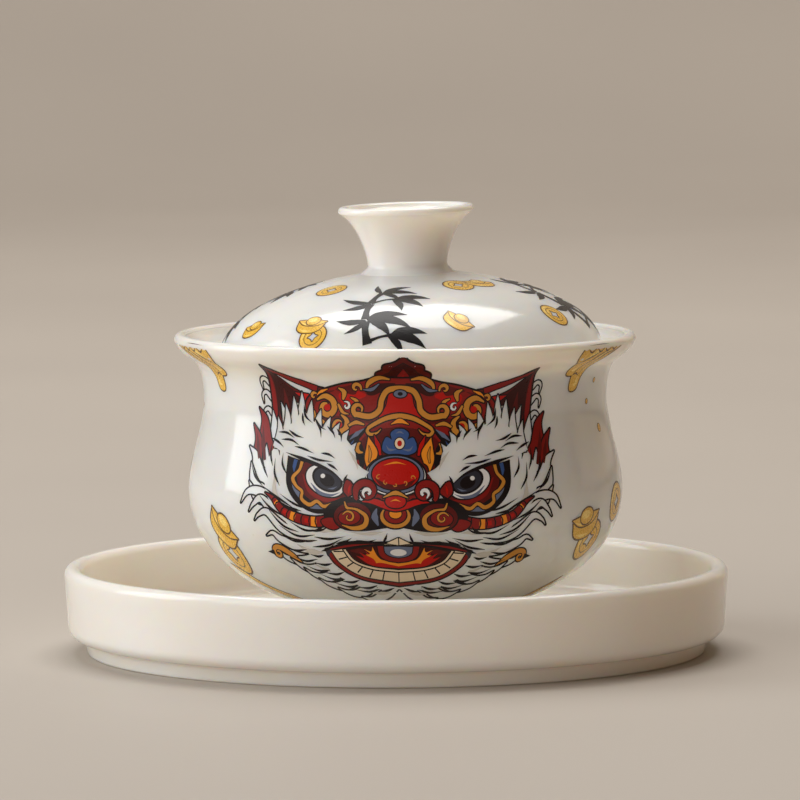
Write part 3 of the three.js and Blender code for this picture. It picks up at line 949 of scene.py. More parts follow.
def cap(d):
    """The red forehead with its scrolls, the cloud in its middle and the two flames beside it."""
    d.lay(whole([(0, 60.2), (4.6, 60.2), (8.4, 59.3), (12.4, 58.6), (17, 57.2), (20.2, 55.6), (20.9, 53),
            (19.2, 50.6), (15.4, 48.6), (11.6, 47.8), (9.2, 44.6), (8, 40), (5.6, 36), (0, 35)]),
            "crimson", 0.32)
    d.pair(pebble([(5, 50.6), (8, 51), (11.6, 49.6), (15, 49.6), (17.6, 51.4), (15, 52.2), (10.6, 52),
            (7.4, 52.6)]), "maroon")
    d.pair(pebble([(1, 59.2), (5.2, 58.9), (7.2, 57), (5.6, 56.6), (2.4, 58.2)]), "umber")
    d.pair(pebble([(7.2, 56.6), (10.4, 57.6), (13.2, 56.6), (12.4, 54.6), (10.6, 53.4), (9.8, 55.2)]),
            "scarlet")
    d.pair(pebble([(14, 57.4), (17.6, 56.6), (19.8, 55), (20.2, 52.6), (18.8, 50.8), (18.9, 53.4),
            (17.6, 55.6)]), "maroon")
    d.pair(pebble([(10.2, 50), (12.8, 48.9), (15.4, 49.3), (18.2, 50.9), (15, 50), (12.4, 49.9)]), "umber")
    d.pair(pebble([(8.4, 59), (11.6, 58.3), (14, 57.6), (12, 57), (9.8, 56.6), (9, 57.6)]), "maroon")
    d.lay(whole([(0, 50.4), (5.4, 49.4), (8.6, 46.6), (7.6, 42.4), (6.4, 38), (0, 36)]), "maroon")
    scroll = [(0, 58.1), (2.6, 57.7), (3.9, 55.8), (4.4, 53.6), (6.4, 52.3), (9.2, 52.6)]
    d.strokes([(2.2, 60), (4.4, 60.3), (6.6, 59.1), (7.2, 57.4)], (0.3, 0.9, 1, 0.2), "amber", 0.2)
    d.strokes([(4.4, 59), (6, 57.8), (8.2, 57.7)], (0.2, 0.7, 0), "steel", 0.15)
    d.strokes(whorl(9.3, 58, 1.15, 200, -0.9), (0.3, 0.7, 0.7, 0.2), "amber", 0.17)
    d.strokes([(13.2, 57.9), (12, 57.1), (12.3, 55.5)], (0.2, 1.1, 0.4), "amber", 0.17)
    d.strokes(whorl(16.1, 53.8, 2.6, 35, 1.2), (0.3, 1.1, 1.3, 1.2, 1, 0.6), "amber", 0.24)
    d.pair(oval(15.9, 53.8, 0.75, 0.7), "scarlet")
    d.strokes(whorl(13.1, 50.4, 2.1, 100, 1.1), (0.3, 1.1, 1.2, 1.1, 0.6), "amber", 0.24)
    d.pair(oval(13.2, 50.4, 0.75, 0.7), "scarlet")
    d.strokes([(20, 53.9), (19.2, 52.6), (18.7, 50.8)], (0.4, 1.1, 0.3), "amber", 0.2)
    d.strokes(whorl(18.9, 56, 0.85, 150, -0.8), (0.2, 0.6, 0.6, 0.2), "amber", 0.17)
    d.strokes([(10.6, 56), (9.4, 55.4), (8.6, 54)], (0.2, 0.8, 0.3), "amber", 0.17)
    d.strokes([(11, 52.6), (12.4, 53), (13.4, 54.6)], (0.1, 0.7, 0.4), "amber", 0.17)
    d.strokes([(15.6, 57.6), (17.4, 56.9), (18.2, 56.2)], (0.1, 0.6, 0.1), "orange", 0.14)
    d.strokes([(17.2, 51.4), (16.2, 50.2), (15.9, 49)], (0.2, 0.8, 0.3), "amber", 0.17)
    d.strokes([(7.6, 50.6), (9.4, 51), (11, 50.3)], (0.3, 0.8, 0.4), "amber", 0.17)
    d.strokes(whorl(11.6, 54.3, 0.95, 60, 0.95), (0.1, 0.5, 0.5, 0.2), "white", 0.13)
    d.lay(whole([(0, 57.6), (2.2, 57), (3, 54.4), (4.4, 52), (0, 52.4)]), "scarlet", 0.2)
    arm = scroll + whorl(8.9, 53.6, 1.3, -60, 0.75, 0.6)
    arch = [(-x, y) for x, y in arm[:0:-1]] + arm
    d.stroke(arch, (0.3, 0.9, 1.1, 1.1, 1.1, 1.1, 1.2, 1.1, 1.1, 1.1, 1.1, 0.9, 0.3), "amber", 0.24)
    d.lay(oval(0, 57, 1.35, 0.75), "steel", 0.2)
    d.lay(oval(0, 57, 0.55, 0.4), "ink")
    arm = [(0, 52.5), (2.6, 52.1), (5, 51), (6.9, 49.7), (6.3, 48.7), (4.8, 49), (4, 49.8)]
    arch = [(-x, y) for x, y in arm[:0:-1]] + arm
    d.stroke(arch, (0.1, 0.6, 0.7, 0.8, 0.9, 1, 0.9, 0.8, 0.7, 0.6, 0.1), "amber", 0.24)
    d.stroke([(-1.9, 50.8), (0, 51.5), (1.9, 50.8)], (0.1, 1, 0.1), "orange", 0.17)
    d.lay(whole([(0, 44.9), (2, 44.8), (3.5, 45.6), (3.5, 47)], [(2.8, 48.2), (1.6, 47.7)],
            [(1.9, 49), (0.9, 49.8), (0, 49.9)]), "blue", 0.2)
    d.strokes([(0.7, 45.8), (2.1, 45.7), (2.8, 46.6)], (0.1, 0.5, 0), "steel")
    d.stroke([(-0.9, 48.9), (0, 49.3), (0.9, 48.9)], (0, 0.45, 0), "steel")
    d.lay(oval(0, 47, 1, 1.1), "cream", 0.16)
    d.lay(oval(0, 47, 0.5, 0.6), "scarlet")
    d.strokes([(3.9, 44.6), (4.4, 46.2), (5.4, 48.6)], (0.4, 1, 0), "scarlet", 0.18)
    d.pair(shape([(5, 43.2), (4.6, 45.4), (6.6, 48.2)], [(6.9, 46), (7.1, 43.8), (6.2, 41.4)],
            [(5.8, 42.6), (5, 43.2)]), "orange", 0.22)
    d.strokes([(6.2, 43.2), (6, 44.8), (6.4, 46.4)], (0.2, 0.5, 0), "amber", 0.1)


def temples(d):
    """Dark hair between the forehead and the brows."""
    d.pair(shape([(6.8, 50.4), (9, 49.2), (12.2, 47.7)], [(10.6, 46.4), (10, 44.2)], [(9.4, 45), (9.3, 42.6)],
            [(8.4, 43.6), (7.9, 40.6)], [(7.2, 42.4), (7.4, 45.6), (8.6, 47.6)], [(7.6, 48.8), (6.8, 50.4)]),
            "ink")
    d.strokes([(7.6, 49.8), (9.4, 48.5), (10.6, 47.5)], (0.1, 0.9, 0.1), "steel")
    d.strokes([(9.6, 47.6), (10.2, 46.4), (9.9, 45)], (0, 0.5, 0), "blue")
    d.strokes(whorl(7.9, 46, 1.05, 70, -0.5, 0.95), (0.3, 0.9, 0.8, 0.2), "amber", 0.2)


def jewel(d):
    """The round boss between the eyes."""
    d.lay(oval(0, 40.6, 6, 4), "white", 0.28)
    d.lay(oval(0, 40.8, 5.6, 3.7), "steel", 0.2)
    d.lay(oval(0, 40.9, 4.7, 3.05), "scarlet", 0.24)
    d.lay(shape([(-4.5, 40.3), (-2.2, 39.2), (0, 38.8), (2.2, 39.2), (4.5, 40.3)],
            [(2.6, 38.3), (0, 37.85), (-2.6, 38.3), (-4.5, 40.3)]), "maroon")
    for x, y, size in (
            (-3.4, 40.2, 0.62), (-1.9, 39.2, 0.55), (0, 38.85, 0.5), (1.9, 39.2, 0.55), (3.4, 40.2, 0.62)):
        d.stroke(whorl(x, y, size, 200 + 40 * x, 0.8), (0.1, 0.26, 0.1), "amber")
    d.stroke([(-2.6, 42.6), (0, 43.2), (2.2, 42.8)], (0, 0.4, 0), "orange")


def eyes(d):
    """Bulging eyes in red and gold settings."""
    d.pair(shape([(9, 36.6), (11.8, 33.8), (16, 32.6), (20.2, 34.2), (23.2, 38), (23.8, 43.8)],
            [(17.6, 42.2), (10.2, 38.8)], [(9, 36.6)]), "ink", 0.1)
    d.pair(pebble([(19.6, 35), (21.8, 37.4), (22.2, 40), (21.2, 38.6), (19.8, 36.8)]), "steel")
    d.pair(pebble([(11.8, 34.8), (14, 33.6), (17.6, 33.5), (17, 34.4), (14, 34.5)]), "steel")
    d.strokes([(21.8, 43), (22, 41.6), (21.8, 40.2)], (0.9, 0.8, 0), "blue")
    d.pair(oval(15.4, 38.8, 5.9, 4.2, 24), "maroon", 0.24)
    d.strokes([(20.3, 42.7), (20.7, 41), (22, 39.4), (21, 37.8), (19.6, 36.8), (19.6, 35.3), (17.8, 34.2),
            (16.2, 35), (14.6, 34), (12.4, 35)], (0.7, 0.6, 0.8, 0.6, 0.6, 0.7, 0.8, 0.6, 0.7, 0.2),
            "amber", 0.17)
    d.strokes([(11, 35.8), (14.4, 35.4), (17.8, 37), (19.8, 40.2)], (0.1, 0.9, 1, 0.2), "crimson")
    d.pair(oval(14.8, 39.1, 4.4, 2.75, 24), "white", 0.24)
    d.strokes([(11.3, 37), (13.4, 36.3), (15.8, 36.8), (17.8, 38.6)], (0, 0.6, 0.7, 0.1), "steel")
    d.pair(oval(14.3, 39.5, 3.4, 2.25, 24), "ink", 0.1)
    d.pair(oval(14.3, 39.45, 3.05, 1.95, 24), "slate")
    d.pair(oval(14.3, 39.3, 1.7, 1.2, 24), "ink")
    d.pair(oval(15.3, 40.1, 0.5, 0.45), "white")
    d.strokes([(12, 38.2), (12.9, 37.7), (14.1, 37.6)], (0, 0.35, 0), "steel")


def brows(d):
    """Thick white brows over the eyes, with locks along the top."""
    for x, z, reach, bend in (
            (9.8, 44.4, 2.6, 0.9), (11.6, 46.6, 2.8, 0.9), (13.6, 47.8, 3, 0.8), (15.6, 48.6, 3.3, 0.7),
            (17.6, 49.6, 3.8, 0.5), (19.6, 50.6, 4.6, 0.3), (21.6, 51.6, 5.2, 0), (23.4, 50.4, 5.4, -0.3),
            (25.2, 48.8, 5.2, -0.6), (27, 46.6, 4.8, -0.9)):
        d.strand([(x + 0.3, z - 1.6), (x + 0.1, z + 0.4 * reach), (x - bend, z + reach)], 1.9, BARE, 0.2)
    d.pair(shape([(5.9, 41.2), (7.4, 42), (8.6, 43)], [(9.2, 45.4), (11.4, 47.8)],
            [(14.4, 48.9), (19, 50.9), (21.4, 53.2)], [(24.4, 50), (27.6, 47.8), (28.4, 45.4)],
            [(23.7, 43.6), (18.5, 42.6)], [(13.7, 40.9), (10.7, 38.9)], [(8.4, 38.2), (5.9, 41.2)]), BARE)
    d.hair([(24.7, 44.3), (18.5, 42.7), (13.7, 41), (10.3, 38.4)], width=0.6)
    d.hair([(10.3, 40.6), (10.9, 39.2), (10.5, 37.8)], [(19.5, 43.9), (16.7, 43.2), (13.5, 43)],
            [(14.9, 42.6), (13.5, 42), (12.3, 41.2)], [(22.8, 45.6), (20.8, 45.3), (17.9, 44.4)],
            [(16.5, 44.6), (14.7, 44.4), (13.1, 43.6)], [(26.4, 46.8), (23.8, 46.8), (21.6, 45.8)],
            [(24.8, 48.8), (22.8, 47.8), (20.8, 47.4)], [(27.4, 48.2), (25.2, 48.2), (23, 47.2)],
            [(13.4, 49.6), (12.4, 48.4), (12.2, 47)], [(15.6, 50), (14.2, 48.8), (13.6, 47.6)],
            [(18.6, 51.6), (17.4, 50), (15.8, 49.2)], [(18.4, 51), (17.2, 49.4), (16.8, 47.6)],
            [(21.2, 54), (20.8, 51.8), (19, 50.4)], [(21.6, 52.4), (21.4, 50.8), (20.8, 49.8)],
            [(29, 47), (27, 46.2), (25.4, 45.2)], width=0.38)
    d.strokes([(8.2, 41.6), (9, 43.6), (10.6, 45.6)], (0, 0.7, 0), "shade")
    d.pair(shape([(9.6, 39.2), (10.5, 39.4), (10.9, 37.4), (9.9, 36.2)], [(8.4, 37.4), (9.6, 39.2)]),
            "crimson", 0.24)
    d.strokes([(9.6, 38.6), (9.8, 37.6), (9.8, 36.8)], (0.1, 0.5, 0.1), "scarlet")


def nose(d):
    """The nose with its scrolled nostrils and the coiled pads beside it."""
    d.pair(pebble([(3, 36), (6, 35.4), (9.6, 36.2), (13, 34.8), (14.6, 32.4), (12.6, 30.2), (8, 29.2),
            (3, 29.8), (0.4, 31)]), "ink")
    d.pair(pebble([(10.8, 30.6), (12.4, 29.4), (14.4, 30), (15, 31.2), (12.8, 31.8)]), "crimson", 0.22)
    d.pair(oval(8.6, 32.3, 3.75, 2.75, -6), "maroon", 0.26)
    d.strokes([(10.2, 35.2), (9.6, 33.9), (7.4, 33.5), (5.8, 32.2), (6.2, 30.4), (8.4, 29.8), (10.8, 30.4)],
            (0.2, 0.7, 0.6, 0.9, 1, 0.7, 0.1), "amber", 0.17)
    d.pair(oval(9.2, 32, 2.2, 1.45, -6), "crimson", 0.17)
    d.strokes(whorl(9.3, 32.1, 1.35, 20, 1.1), (0.2, 0.42, 0.4, 0.2), "amber", 0.1)
    d.strokes([(3.7, 34), (4.1, 32.4), (3.4, 30.5)], (0.2, 1.4, 0.3), "steel", 0.2)
    d.lay(oval(0, 32.4, 3, 2.35), "amber", 0.26)
    d.lay(oval(0, 32.8, 2.15, 1.75), "crimson", 0.2)
    d.lay(oval(0, 33, 1.2, 0.95), "orange", 0.17)
    d.stroke([(-6.6, 35.3), (-4.4, 35.4), (-2.2, 34.7), (0, 34.3), (2.2, 34.7), (4.4, 35.4), (6.6, 35.3)],
            (0.1, 1.1, 1.3, 1.6, 1.3, 1.1, 0.1), "scarlet", 0.22)
    d.lay(oval(0, 35.5, 2, 1.35), "scarlet", 0.22)
    d.stroke([(-2.5, 36.2), (0, 37.2), (2.5, 36.2)], (0.1, 0.9, 0.1), "amber", 0.2)
    d.stroke([(-1.1, 35.4), (0, 35.8), (1.1, 35.4)], (0, 0.35, 0), "orange")
    d.strokes([(7.6, 35.7)] + whorl(5.9, 37.3, 2.35, -30, 1.05, 0.3), (0.6, 1.4, 1.35, 1.2, 0.8),
            "crimson", 0.24)
    d.strokes(whorl(5.6, 37.1, 1.1, -60, 0.85, 0.3), (0.2, 0.8, 0.5), "white", 0.12)


def cheeks(d):
    """The ribbed red and orange bands that sweep up to the sides."""
    spine = [(13.8, 31.2), (17, 30.8), (20.6, 31.3), (24, 32.6), (26.6, 35), (28.6, 36)]
    line = run(spine, 0.2)
    full = np.interp(np.linspace(0, 1, len(line)), (0, 0.5, 0.85, 1), (2.1, 1.8, 1, 0))
    d.strokes(spine, np.interp((0, 0.2, 0.4, 0.6, 0.8, 1), (0, 0.5, 0.85, 1), (2.1, 1.8, 1, 0)).tolist(),
            "crimson", 0.24)
    ribs = [int(share * len(line)) for share in (0.06, 0.17, 0.26, 0.37, 0.46, 0.57, 0.66, 0.76, 0.84)]
    for k, (i, j) in enumerate(zip(ribs, ribs[1:])):
        if k % 3 == 1:
            d.strokes(line[i:j:3], (full[i], full[j]), "orange")
        elif k % 3 == 2:
            d.strokes(line[i:j:3], (0.5 * full[i], 0.5 * full[j]), "scarlet")
    for i in ribs:
        along = (line[i + 1] - line[i - 1]) / np.hypot(*(line[i + 1] - line[i - 1]))
        across = np.array([-along[1], along[0]]) * (0.5 * full[i] + 0.1)
        d.strokes([line[i] - across, line[i] + 0.25 * along, line[i] + across], (0.24, 0.34, 0.24), "ink")
    d.hair([(14, 29.9), (16, 29), (19.4, 28.8)], [(15, 30.4), (15.6, 29.6), (17.4, 28.9)],
            [(17.8, 33.4), (21, 34), (25, 36)], [(19.8, 32.8), (22.6, 33.4), (24.6, 34.4)])


def mouth(d):
    """The wide open mouth: lip, teeth, tongue and the flames inside."""
    d.lay(whole([(0, 27), (4.6, 26.8), (10.06, 26.4), (15.41, 25)], [(13.7, 21.8), (8.99, 18.9), (0, 17.4)]),
            "crimson", 0.28)
    d.lay(whole([(0, 26.5), (6.42, 26.2), (14.23, 24.8)], [(12.63, 22.1), (8.35, 19.5), (0, 18.3)]),
            "cream", 0.22)
    d.strokes([(14.34, 24.9), (15.19, 24.2), (14.87, 23.2)], (0.6, 0.8, 0.2), "slate")
    d.lay([(-0.13, 20.9), (0.13, 20.9), (0.13, 18.2), (-0.13, 18.2)], "ink")
    for k in range(6):
        angle = math.radians(-74 + 13.0 * k)
        x, y = math.cos(angle), math.sin(angle)
        d.strokes([(14.0 * x, 25.9 + 7.6 * y), (11.1 * x, 25.6 + 4.7 * y)], (0.3, 0.26), "ink")
    d.lay(whole([(0, 26.3), (5.78, 26.1), (11.56, 25.2)], [(9.84, 22.7), (5.78, 21.2), (0, 20.7)]),
            "cream", 0.24)
    d.lay(whole([(0, 26.3), (5.78, 26.1), (10.81, 25.2)], [(9.1, 23), (5.35, 21.8), (0, 21.3)]), "umber", 0.2)
    d.strokes([(5.99, 25.2), (8.13, 25), (10.06, 25)], (0.2, 1.2, 0.2), "maroon")
    d.lay(whole([(0, 23), (4.2, 23.4), (6.85, 24.9)], [(6.53, 24), (8.24, 24.8)], [(7.28, 23.6), (8.99, 24)],
            [(5.78, 22), (0, 21.5)]), "scarlet")
    d.lay(whole([(0, 23.2), (3, 23.1), (4.4, 24), (5.35, 26)], [(5.67, 25), (7.17, 25.5)],
            [(5.89, 24.5), (6.96, 24.3)], [(5.35, 23.4), (4.8, 22.5)], [(3.6, 22.6), (0, 21.9)]), "orange")
    d.lay(whole([(0, 26.3), (4.3, 26.2)], [(3.9, 24.2), (2.4, 23.2), (0, 22.8)]), "crimson", 0.2)
    d.lay(whole([(0, 26.2), (2.9, 26.1)], [(2.7, 24.8), (1.6, 24.1), (0, 23.8)]), "steel", 0.17)
    d.lay(oval(0, 24.9, 1.7, 0.75), "white")
    d.pair(shape([(0, 26.5), (0.1, 28)], [(2.9, 26.6)], [(0, 26.5)]), "cream", 0.17)
    d.hair([(15.6, 24.9), (10.6, 26.6), (5, 26.9), (0, 26.5)], width=0.6)
    d.hair([(3.2, 26.9), (2.6, 27.8), (2.2, 29)], [(8.6, 27.3), (6.4, 27), (4.4, 27.6)],
            [(13, 26.4), (10.8, 27), (9.4, 27.8)], [(18.4, 25.4), (14.6, 26), (11.4, 27.6)],
            [(17.6, 27.6), (14.4, 27.3), (10.8, 28)], [(16.6, 24.6), (14.8, 25.2), (13.2, 26.4)], width=0.38)


def chin(d):
    """Short fur below the lip."""
    for points, width in (
            ([(16.6, 22.6), (14.4, 20.2), (11, 18)], 1.9), ([(12, 19), (8.6, 17.4), (4.6, 16.5)], 1.8),
            ([(6, 17.6), (3, 16.6), (0.2, 15.6)], 1.6)):
        d.strokes(points, (0.2, width, 0.7 * width, 0), BARE)
    d.hair([(16.2, 23.8), (17.6, 23.4), (19.4, 23.8)], [(14.8, 22), (16.8, 21.6), (19, 22)],
            [(12.6, 20.2), (14.6, 19.6), (17.4, 19.9)], [(9.4, 18.5), (11.6, 17.9), (14.4, 18.2)],
            [(5.4, 17.4), (7.6, 16.7), (10.4, 16.8)], [(1.2, 16.9), (3.2, 16.2), (5.6, 16)], width=0.4)


def lion_mask():
    """A dance lion's head in the folk manner. Each part is drawn by itself, then shifted sideways."""
    d = Drawing("ink", 1.3)
    for part, aside in (
            (ears, 0.0), (mane, 0.0), (face, 0.0), (crown, 0.6), (cap, 0.0), (temples, 0.0), (jewel, -0.7),
            (eyes, -0.4), (brows, -0.2), (cheeks, -0.2), (nose, -0.6), (mouth, 0.0), (chin, 0.0)):
        layer = Drawing(d.line, d.weight)
        part(layer)
        d.place(layer, aside, 0.0)
    return d


# ---------------------------------------------------------------- operators

def enamels(prefix, names, make=enamel_material):
    """One material for each colour that a layer uses."""
    return {name: make(prefix + "_" + name, getattr(finish(), name)) for name in names}


MASK_COLOURS = ("ink", "white", "shade", "umber", "maroon", "crimson", "scarlet", "amber", "orange", "cream",
        "steel", "blue", "slate")
GOLD_COLOURS = ("gold", "gilt", "bronze")

def fire(name, drawing, surface, materials, body):
    """Fires a drawing onto a surface as a layer of enamel that rides on a body."""
    settle(enamel_piece(name, drawing, surface, materials), body)
    return {"FINISHED"}


def settle(piece, body, node=None):
    """Hangs a finished piece on its body and hides the CAD part that it stands in for, when one is named."""
    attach(piece, body)
    if node:
        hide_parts(node)


class MakeSaucer(bpy.types.Operator):
    """Turn the shallow straight-walled saucer on its foot ring"""

    bl_idname = "gaiwan.make_saucer"
    bl_label = "Make saucer"

    def execute(self, context):
        sizes = context.scene.gaiwan_sizes
        # Passing the inside radius paints warm shade on the saucer's floor.
        glaze = glaze_material("saucer_glaze", sizes.saucer_radius - sizes.saucer_wall)
        piece = turned_piece("saucer_porcelain_tray", saucer_outline(),
                (glaze, biscuit_material("saucer_bare_clay")), BARE_BELOW)
        settle(piece, "saucer", "saucer")
        return {"FINISHED"}


class MakeBowl(bpy.types.Operator):
    """Turn the waisted bowl with its flared lip"""

    bl_idname = "gaiwan.make_bowl"
    bl_label = "Make bowl"

    def execute(self, context):
        piece = turned_piece("bowl_porcelain_cup", bowl_outline(),
                             (glaze_material("bowl_glaze"), biscuit_material("bowl_bare_clay")), BARE_BELOW,
                             (mm("bowl_offset"), 0.0, mm("bowl_base")))
        settle(piece, "bowl", "bowl")
        return {"FINISHED"}


class MakeLid(bpy.types.Operator):
    """Turn the domed lid with its dished knob, leaning as it lies in the bowl"""

    bl_idname = "gaiwan.make_lid"
    bl_label = "Make lid"

    def execute(self, context):
        piece = turned_piece("lid_porcelain_dome", lid_outline(), (glaze_material("lid_glaze"),), None,
                             lid_origin(), -context.scene.gaiwan_sizes.lid_tilt)
        settle(piece, "lid", "lid")
        return {"FINISHED"}


class PaintMask(bpy.types.Operator):
    """Paint the dance lion's head on the front of the bowl"""

    bl_idname = "gaiwan.paint_mask"
    bl_label = "Paint lion mask"

    def execute(self, context):
        d = Drawing("ink")
        d.place(lion_mask(), 0.0, 0.0, MASK_LEAN)
        return fire("bowl_lion_mask", d, bowl_surface(MASK_MIDDLE), enamels("mask", MASK_COLOURS), "bowl")


class PaintBowlGold(bpy.types.Operator):
    """Paint the coins, ingots, ribbons and rim scrolls round the bowl"""

    bl_idname = "gaiwan.paint_bowl_gold"
    bl_label = "Paint gold on bowl"

    def execute(self, context):
        d = Drawing("bronze")
        for motif, x, y, turn, size in (
                (rim_leaf, -49.6, 64.4, 0, 1.0), (rim_leaf, 43.0, 64.4, 0, -1.0),
                (rim_leaf, -93.0, 64.4, 0, 1.0), (rim_leaf, 90.0, 64.4, 0, -1.0),
                (hoard, -45.6, 25.6, -34, 1.35), (hoard, 44.4, 27.0, 16, 1.3), (ribbon, -40.5, 14.4, 2, 1.0),
                (ribbon, 43.6, 13.6, 52, 0.9), (coin, 57.4, 32.0, 0, 1.25), (ingot, -72.0, 38.0, 24, 1.0),
                (hoard, -76.0, 20.5, -8, 1.0), (coin, -80.0, 45.0, 0, 1.0), (ingot, 72.0, 48.0, -28, 1.0),
                (hoard, 79.0, 26.0, 12, 1.0), (ribbon, 76.0, 13.4, -6, 1.0), (ribbon, -92.0, 13.6, 8, -1.0),
                (coin, -103.0, 31.0, 0, 1.0), (ingot, 105.0, 38.0, 20, 1.0)):
            d.place(motif(), x, y, turn, size)
        for x, y, size in (
                (48.0, 53.4, 0.5), (51.0, 57.6, 0.45), (53.4, 47.6, 0.8), (-66.0, 51.6, 0.45),
                (-98.0, 50.6, 0.4), (98.0, 51.0, 0.45)):
            d.lay(oval(x, y, size, size), "gold", 0.12)
        golds = enamels("bowl", GOLD_COLOURS, gold_material)
        return fire("bowl_gold_motifs", d, bowl_surface(0.0), golds, "bowl")


class PaintBowlBrush(bpy.types.Operator):
    """Brush a spray of bamboo in black on the back of the bowl"""

    bl_idname = "gaiwan.paint_bowl_brush"
    bl_label = "Paint brushwork on bowl"

    def execute(self, context):
        d = Drawing("brush")
        d.place(bamboo(), -2.0, 35.0, 0, 1.75)
        inks = enamels("bowl", ("brush",))
        return fire("bowl_ink_brushwork", d, bowl_surface(BACK_OF_BOWL), inks, "bowl")


class PaintLidBrush(bpy.types.Operator):
    """Brush four sprays of bamboo in black round the dome of the lid"""

    bl_idname = "gaiwan.paint_lid_brush"
    bl_label = "Paint brushwork on lid"

    def execute(self, context):
        d = Drawing("brush")
        for angle in (-9.5, 80.5, 172.5, 265.5):
            spot = turned([(0.0, -BAMBOO_FROM_TOP)], angle)[0]
            d.place(bamboo(), spot[0], spot[1], angle, 1.0)
        inks = enamels("lid", ("brush",))
        return fire("lid_ink_brushwork", d, lid_surface(), inks, "lid")


class PaintLidGold(bpy.types.Operator):
    """Paint coins and ingots round the dome of the lid"""

    bl_idname = "gaiwan.paint_lid_gold"
    bl_label = "Paint gold on lid"

    def execute(self, context):
        d = Drawing("bronze")
        for half_turn in (0.0, 180.0):
            for motif, away, angle, lean, size in (
                    (hoard, 37.6, -34.5, 6.0, 1.0), (ingot, 35.8, 16.5, -52.0, 0.95),
                    (coin, 36.4, 59.0, 0.0, 1.0), (ingot, 38.4, -63.0, 16.0, 0.9),
                    (coin, 21.2, -49.0, 0.0, 1.0), (coin, 19.6, 32.0, 0.0, 1.0),
                    (ingot, 19.8, 49.0, -20.0, 0.95)):
                spot = turned([(0.0, -away)], angle + half_turn)[0]
                d.place(motif(), spot[0], spot[1], angle + lean + half_turn, size)
        golds = enamels("lid", GOLD_COLOURS, gold_material)
        return fire("lid_gold_motifs", d, lid_surface(), golds, "lid")


SUBJECT = (0.0, 0.0, 0.05)
AIR_COLOUR, AIR_STRENGTH = (1.0, 0.69, 0.44), 0.14
LIGHTS = (
    ("window_front", (-0.94, -1.02, 0.95), SUBJECT, (1.2, 1.5), 9.0, (0.98, 0.985, 1.0)),
    ("low_front", (-0.70, -1.30, 0.13), SUBJECT, (1.3, 0.22), 3.6, (1.0, 0.94, 0.86)),
    ("window_left", (-1.42, 0.12, 0.62), SUBJECT, (0.9, 1.2), 12.5, (0.92, 0.965, 1.0)),
    ("sky_above", (0.0, 0.55, 1.40), SUBJECT, (1.2, 0.9), 17.0, (1.0, 0.99, 0.97)),
    ("warm_back", (1.25, 1.20, 0.60), SUBJECT, (1.6, 1.1), 2.2, (1.0, 0.76, 0.52)),
    ("wall_wash", (0.0, 1.2, 1.5), (0.0, 2.4, 0.9), (2.0, 0.5), 15.0, (1.0, 0.985, 0.97)),
)
SENSOR_WIDTH, FOCAL_LENGTH = 36.0, 303.8
CAMERA_PLACE, CAMERA_DIP, CAMERA_ROLL = (0.00096, -1.398, 0.171), 0.0848, -0.0046


def soft_light(name, place, aim, size, power, tint):
    """A large soft light of a size and power, turned from its place to what it lights."""
    lamp = bpy.data.lights.new(name, "AREA")
    lamp.shape = "RECTANGLE"
    lamp.size, lamp.size_y = size
    lamp.energy = power
    lamp.color = tint
    light = hung(name, lamp)
    light.location = place
    light.rotation_euler = (Vector(aim) - Vector(place)).to_track_quat("-Z", "Y").to_euler()


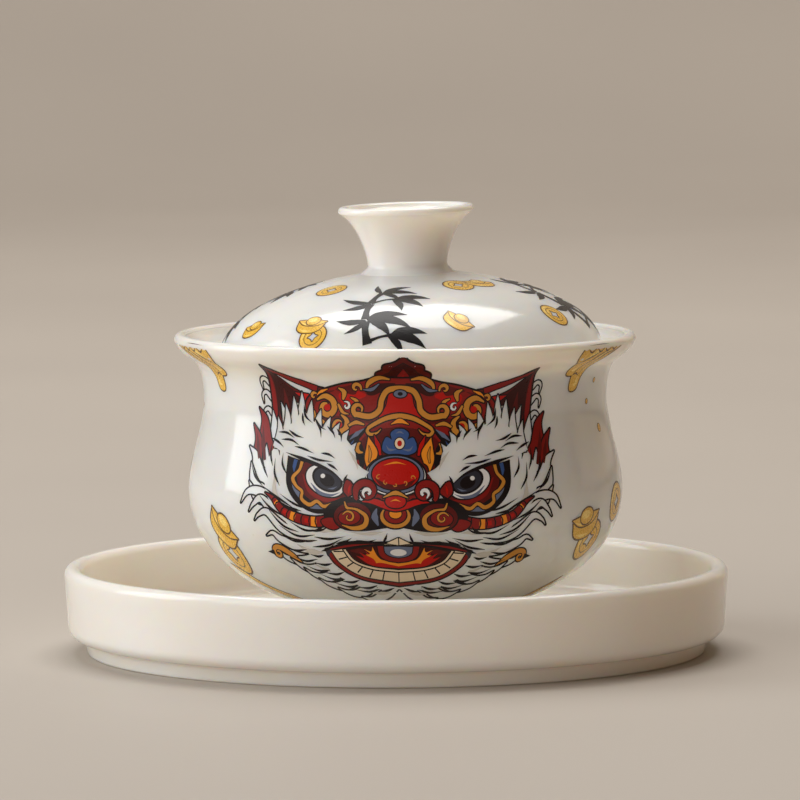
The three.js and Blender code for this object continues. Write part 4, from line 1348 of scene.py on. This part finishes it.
class SetStage(bpy.types.Operator):
    """Lay the pale floor and backdrop, hang the soft lights and place the camera"""

    bl_idname = "gaiwan.set_stage"
    bl_label = "Set stage"

    def execute(self, context):
        sweep = joined(((-2.2, 0.0), (1.6, 0.0)), arc((1.6, 0.9), 0.9, -90, 0, 24), ((2.5, 3.0),))
        half = 3.5
        points = [(x, y, z) for y, z in sweep for x in (-half, half)]
        faces = [(2 * i, 2 * i + 1, 2 * i + 3, 2 * i + 2) for i in range(len(sweep) - 1)]
        mesh = bpy.data.meshes.new("studio_floor")
        mesh.from_pydata(points, [], faces)
        mesh.polygons.foreach_set("use_smooth", [True] * len(faces))
        recipe = Recipe("studio_floor")
        place = recipe.place()
        mesh.materials.append(recipe.surface({
            "Base Color": recipe.mix(recipe.spread(recipe.noise(place, 3.0), 0.3, 0.7, 0.0, 0.15),
                                     finish().floor, finish().biscuit),
            "Roughness": 0.55}))
        hung("studio_floor", mesh)

        world = bpy.data.worlds.new("studio_air")
        world.use_nodes = True
        air = world.node_tree.nodes["Background"]
        air.inputs["Color"].default_value = (*AIR_COLOUR, 1.0)
        air.inputs["Strength"].default_value = AIR_STRENGTH
        context.scene.world = world
        for light in LIGHTS:
            soft_light(*light)

        lens = bpy.data.cameras.new("studio_camera")
        lens.sensor_width = SENSOR_WIDTH
        lens.lens = FOCAL_LENGTH
        lens.clip_end = 20.0
        camera = hung("studio_camera", lens)
        camera.matrix_world = (Matrix.Translation(CAMERA_PLACE)
                               @ Matrix.Rotation(math.pi / 2 - CAMERA_DIP, 4, "X")
                               @ Matrix.Rotation(CAMERA_ROLL, 4, "Z"))
        context.scene.camera = camera
        context.scene.view_settings.view_transform = "Standard"
        return {"FINISHED"}


class GaiwanPanel(bpy.types.Panel):
    """The gaiwan's steps, sizes and colours"""

    bl_idname = "VIEW3D_PT_gaiwan"
    bl_label = "Gaiwan"
    bl_space_type = "VIEW_3D"
    bl_region_type = "UI"
    bl_category = "Gaiwan"

    def draw(self, context):
        for step in STEPS:
            self.layout.operator(step.bl_idname)
        for group in (context.scene.gaiwan_sizes, context.scene.gaiwan_finish):
            box = self.layout.box()
            for name in group.__annotations__:
                box.prop(group, name)


STEPS = (SetStage, MakeSaucer, MakeBowl, MakeLid, PaintMask, PaintBowlGold, PaintBowlBrush, PaintLidBrush,
        PaintLidGold)
CLASSES = (GaiwanSizes, GaiwanFinish, *STEPS, GaiwanPanel)


def register():
    for item in CLASSES:
        bpy.utils.register_class(item)
    bpy.types.Scene.gaiwan_sizes = PointerProperty(type=GaiwanSizes)
    bpy.types.Scene.gaiwan_finish = PointerProperty(type=GaiwanFinish)


def unregister():
    del bpy.types.Scene.gaiwan_finish
    del bpy.types.Scene.gaiwan_sizes
    for item in reversed(CLASSES):
        bpy.utils.unregister_class(item)


def main():
    register()
    bpy.ops.gaiwan.set_stage()
    bpy.ops.gaiwan.make_saucer()
    bpy.ops.gaiwan.make_bowl()
    bpy.ops.gaiwan.make_lid()
    bpy.ops.gaiwan.paint_mask()
    bpy.ops.gaiwan.paint_bowl_gold()
    bpy.ops.gaiwan.paint_bowl_brush()
    bpy.ops.gaiwan.paint_lid_brush()
    bpy.ops.gaiwan.paint_lid_gold()


if __name__ == "__main__":
    main()
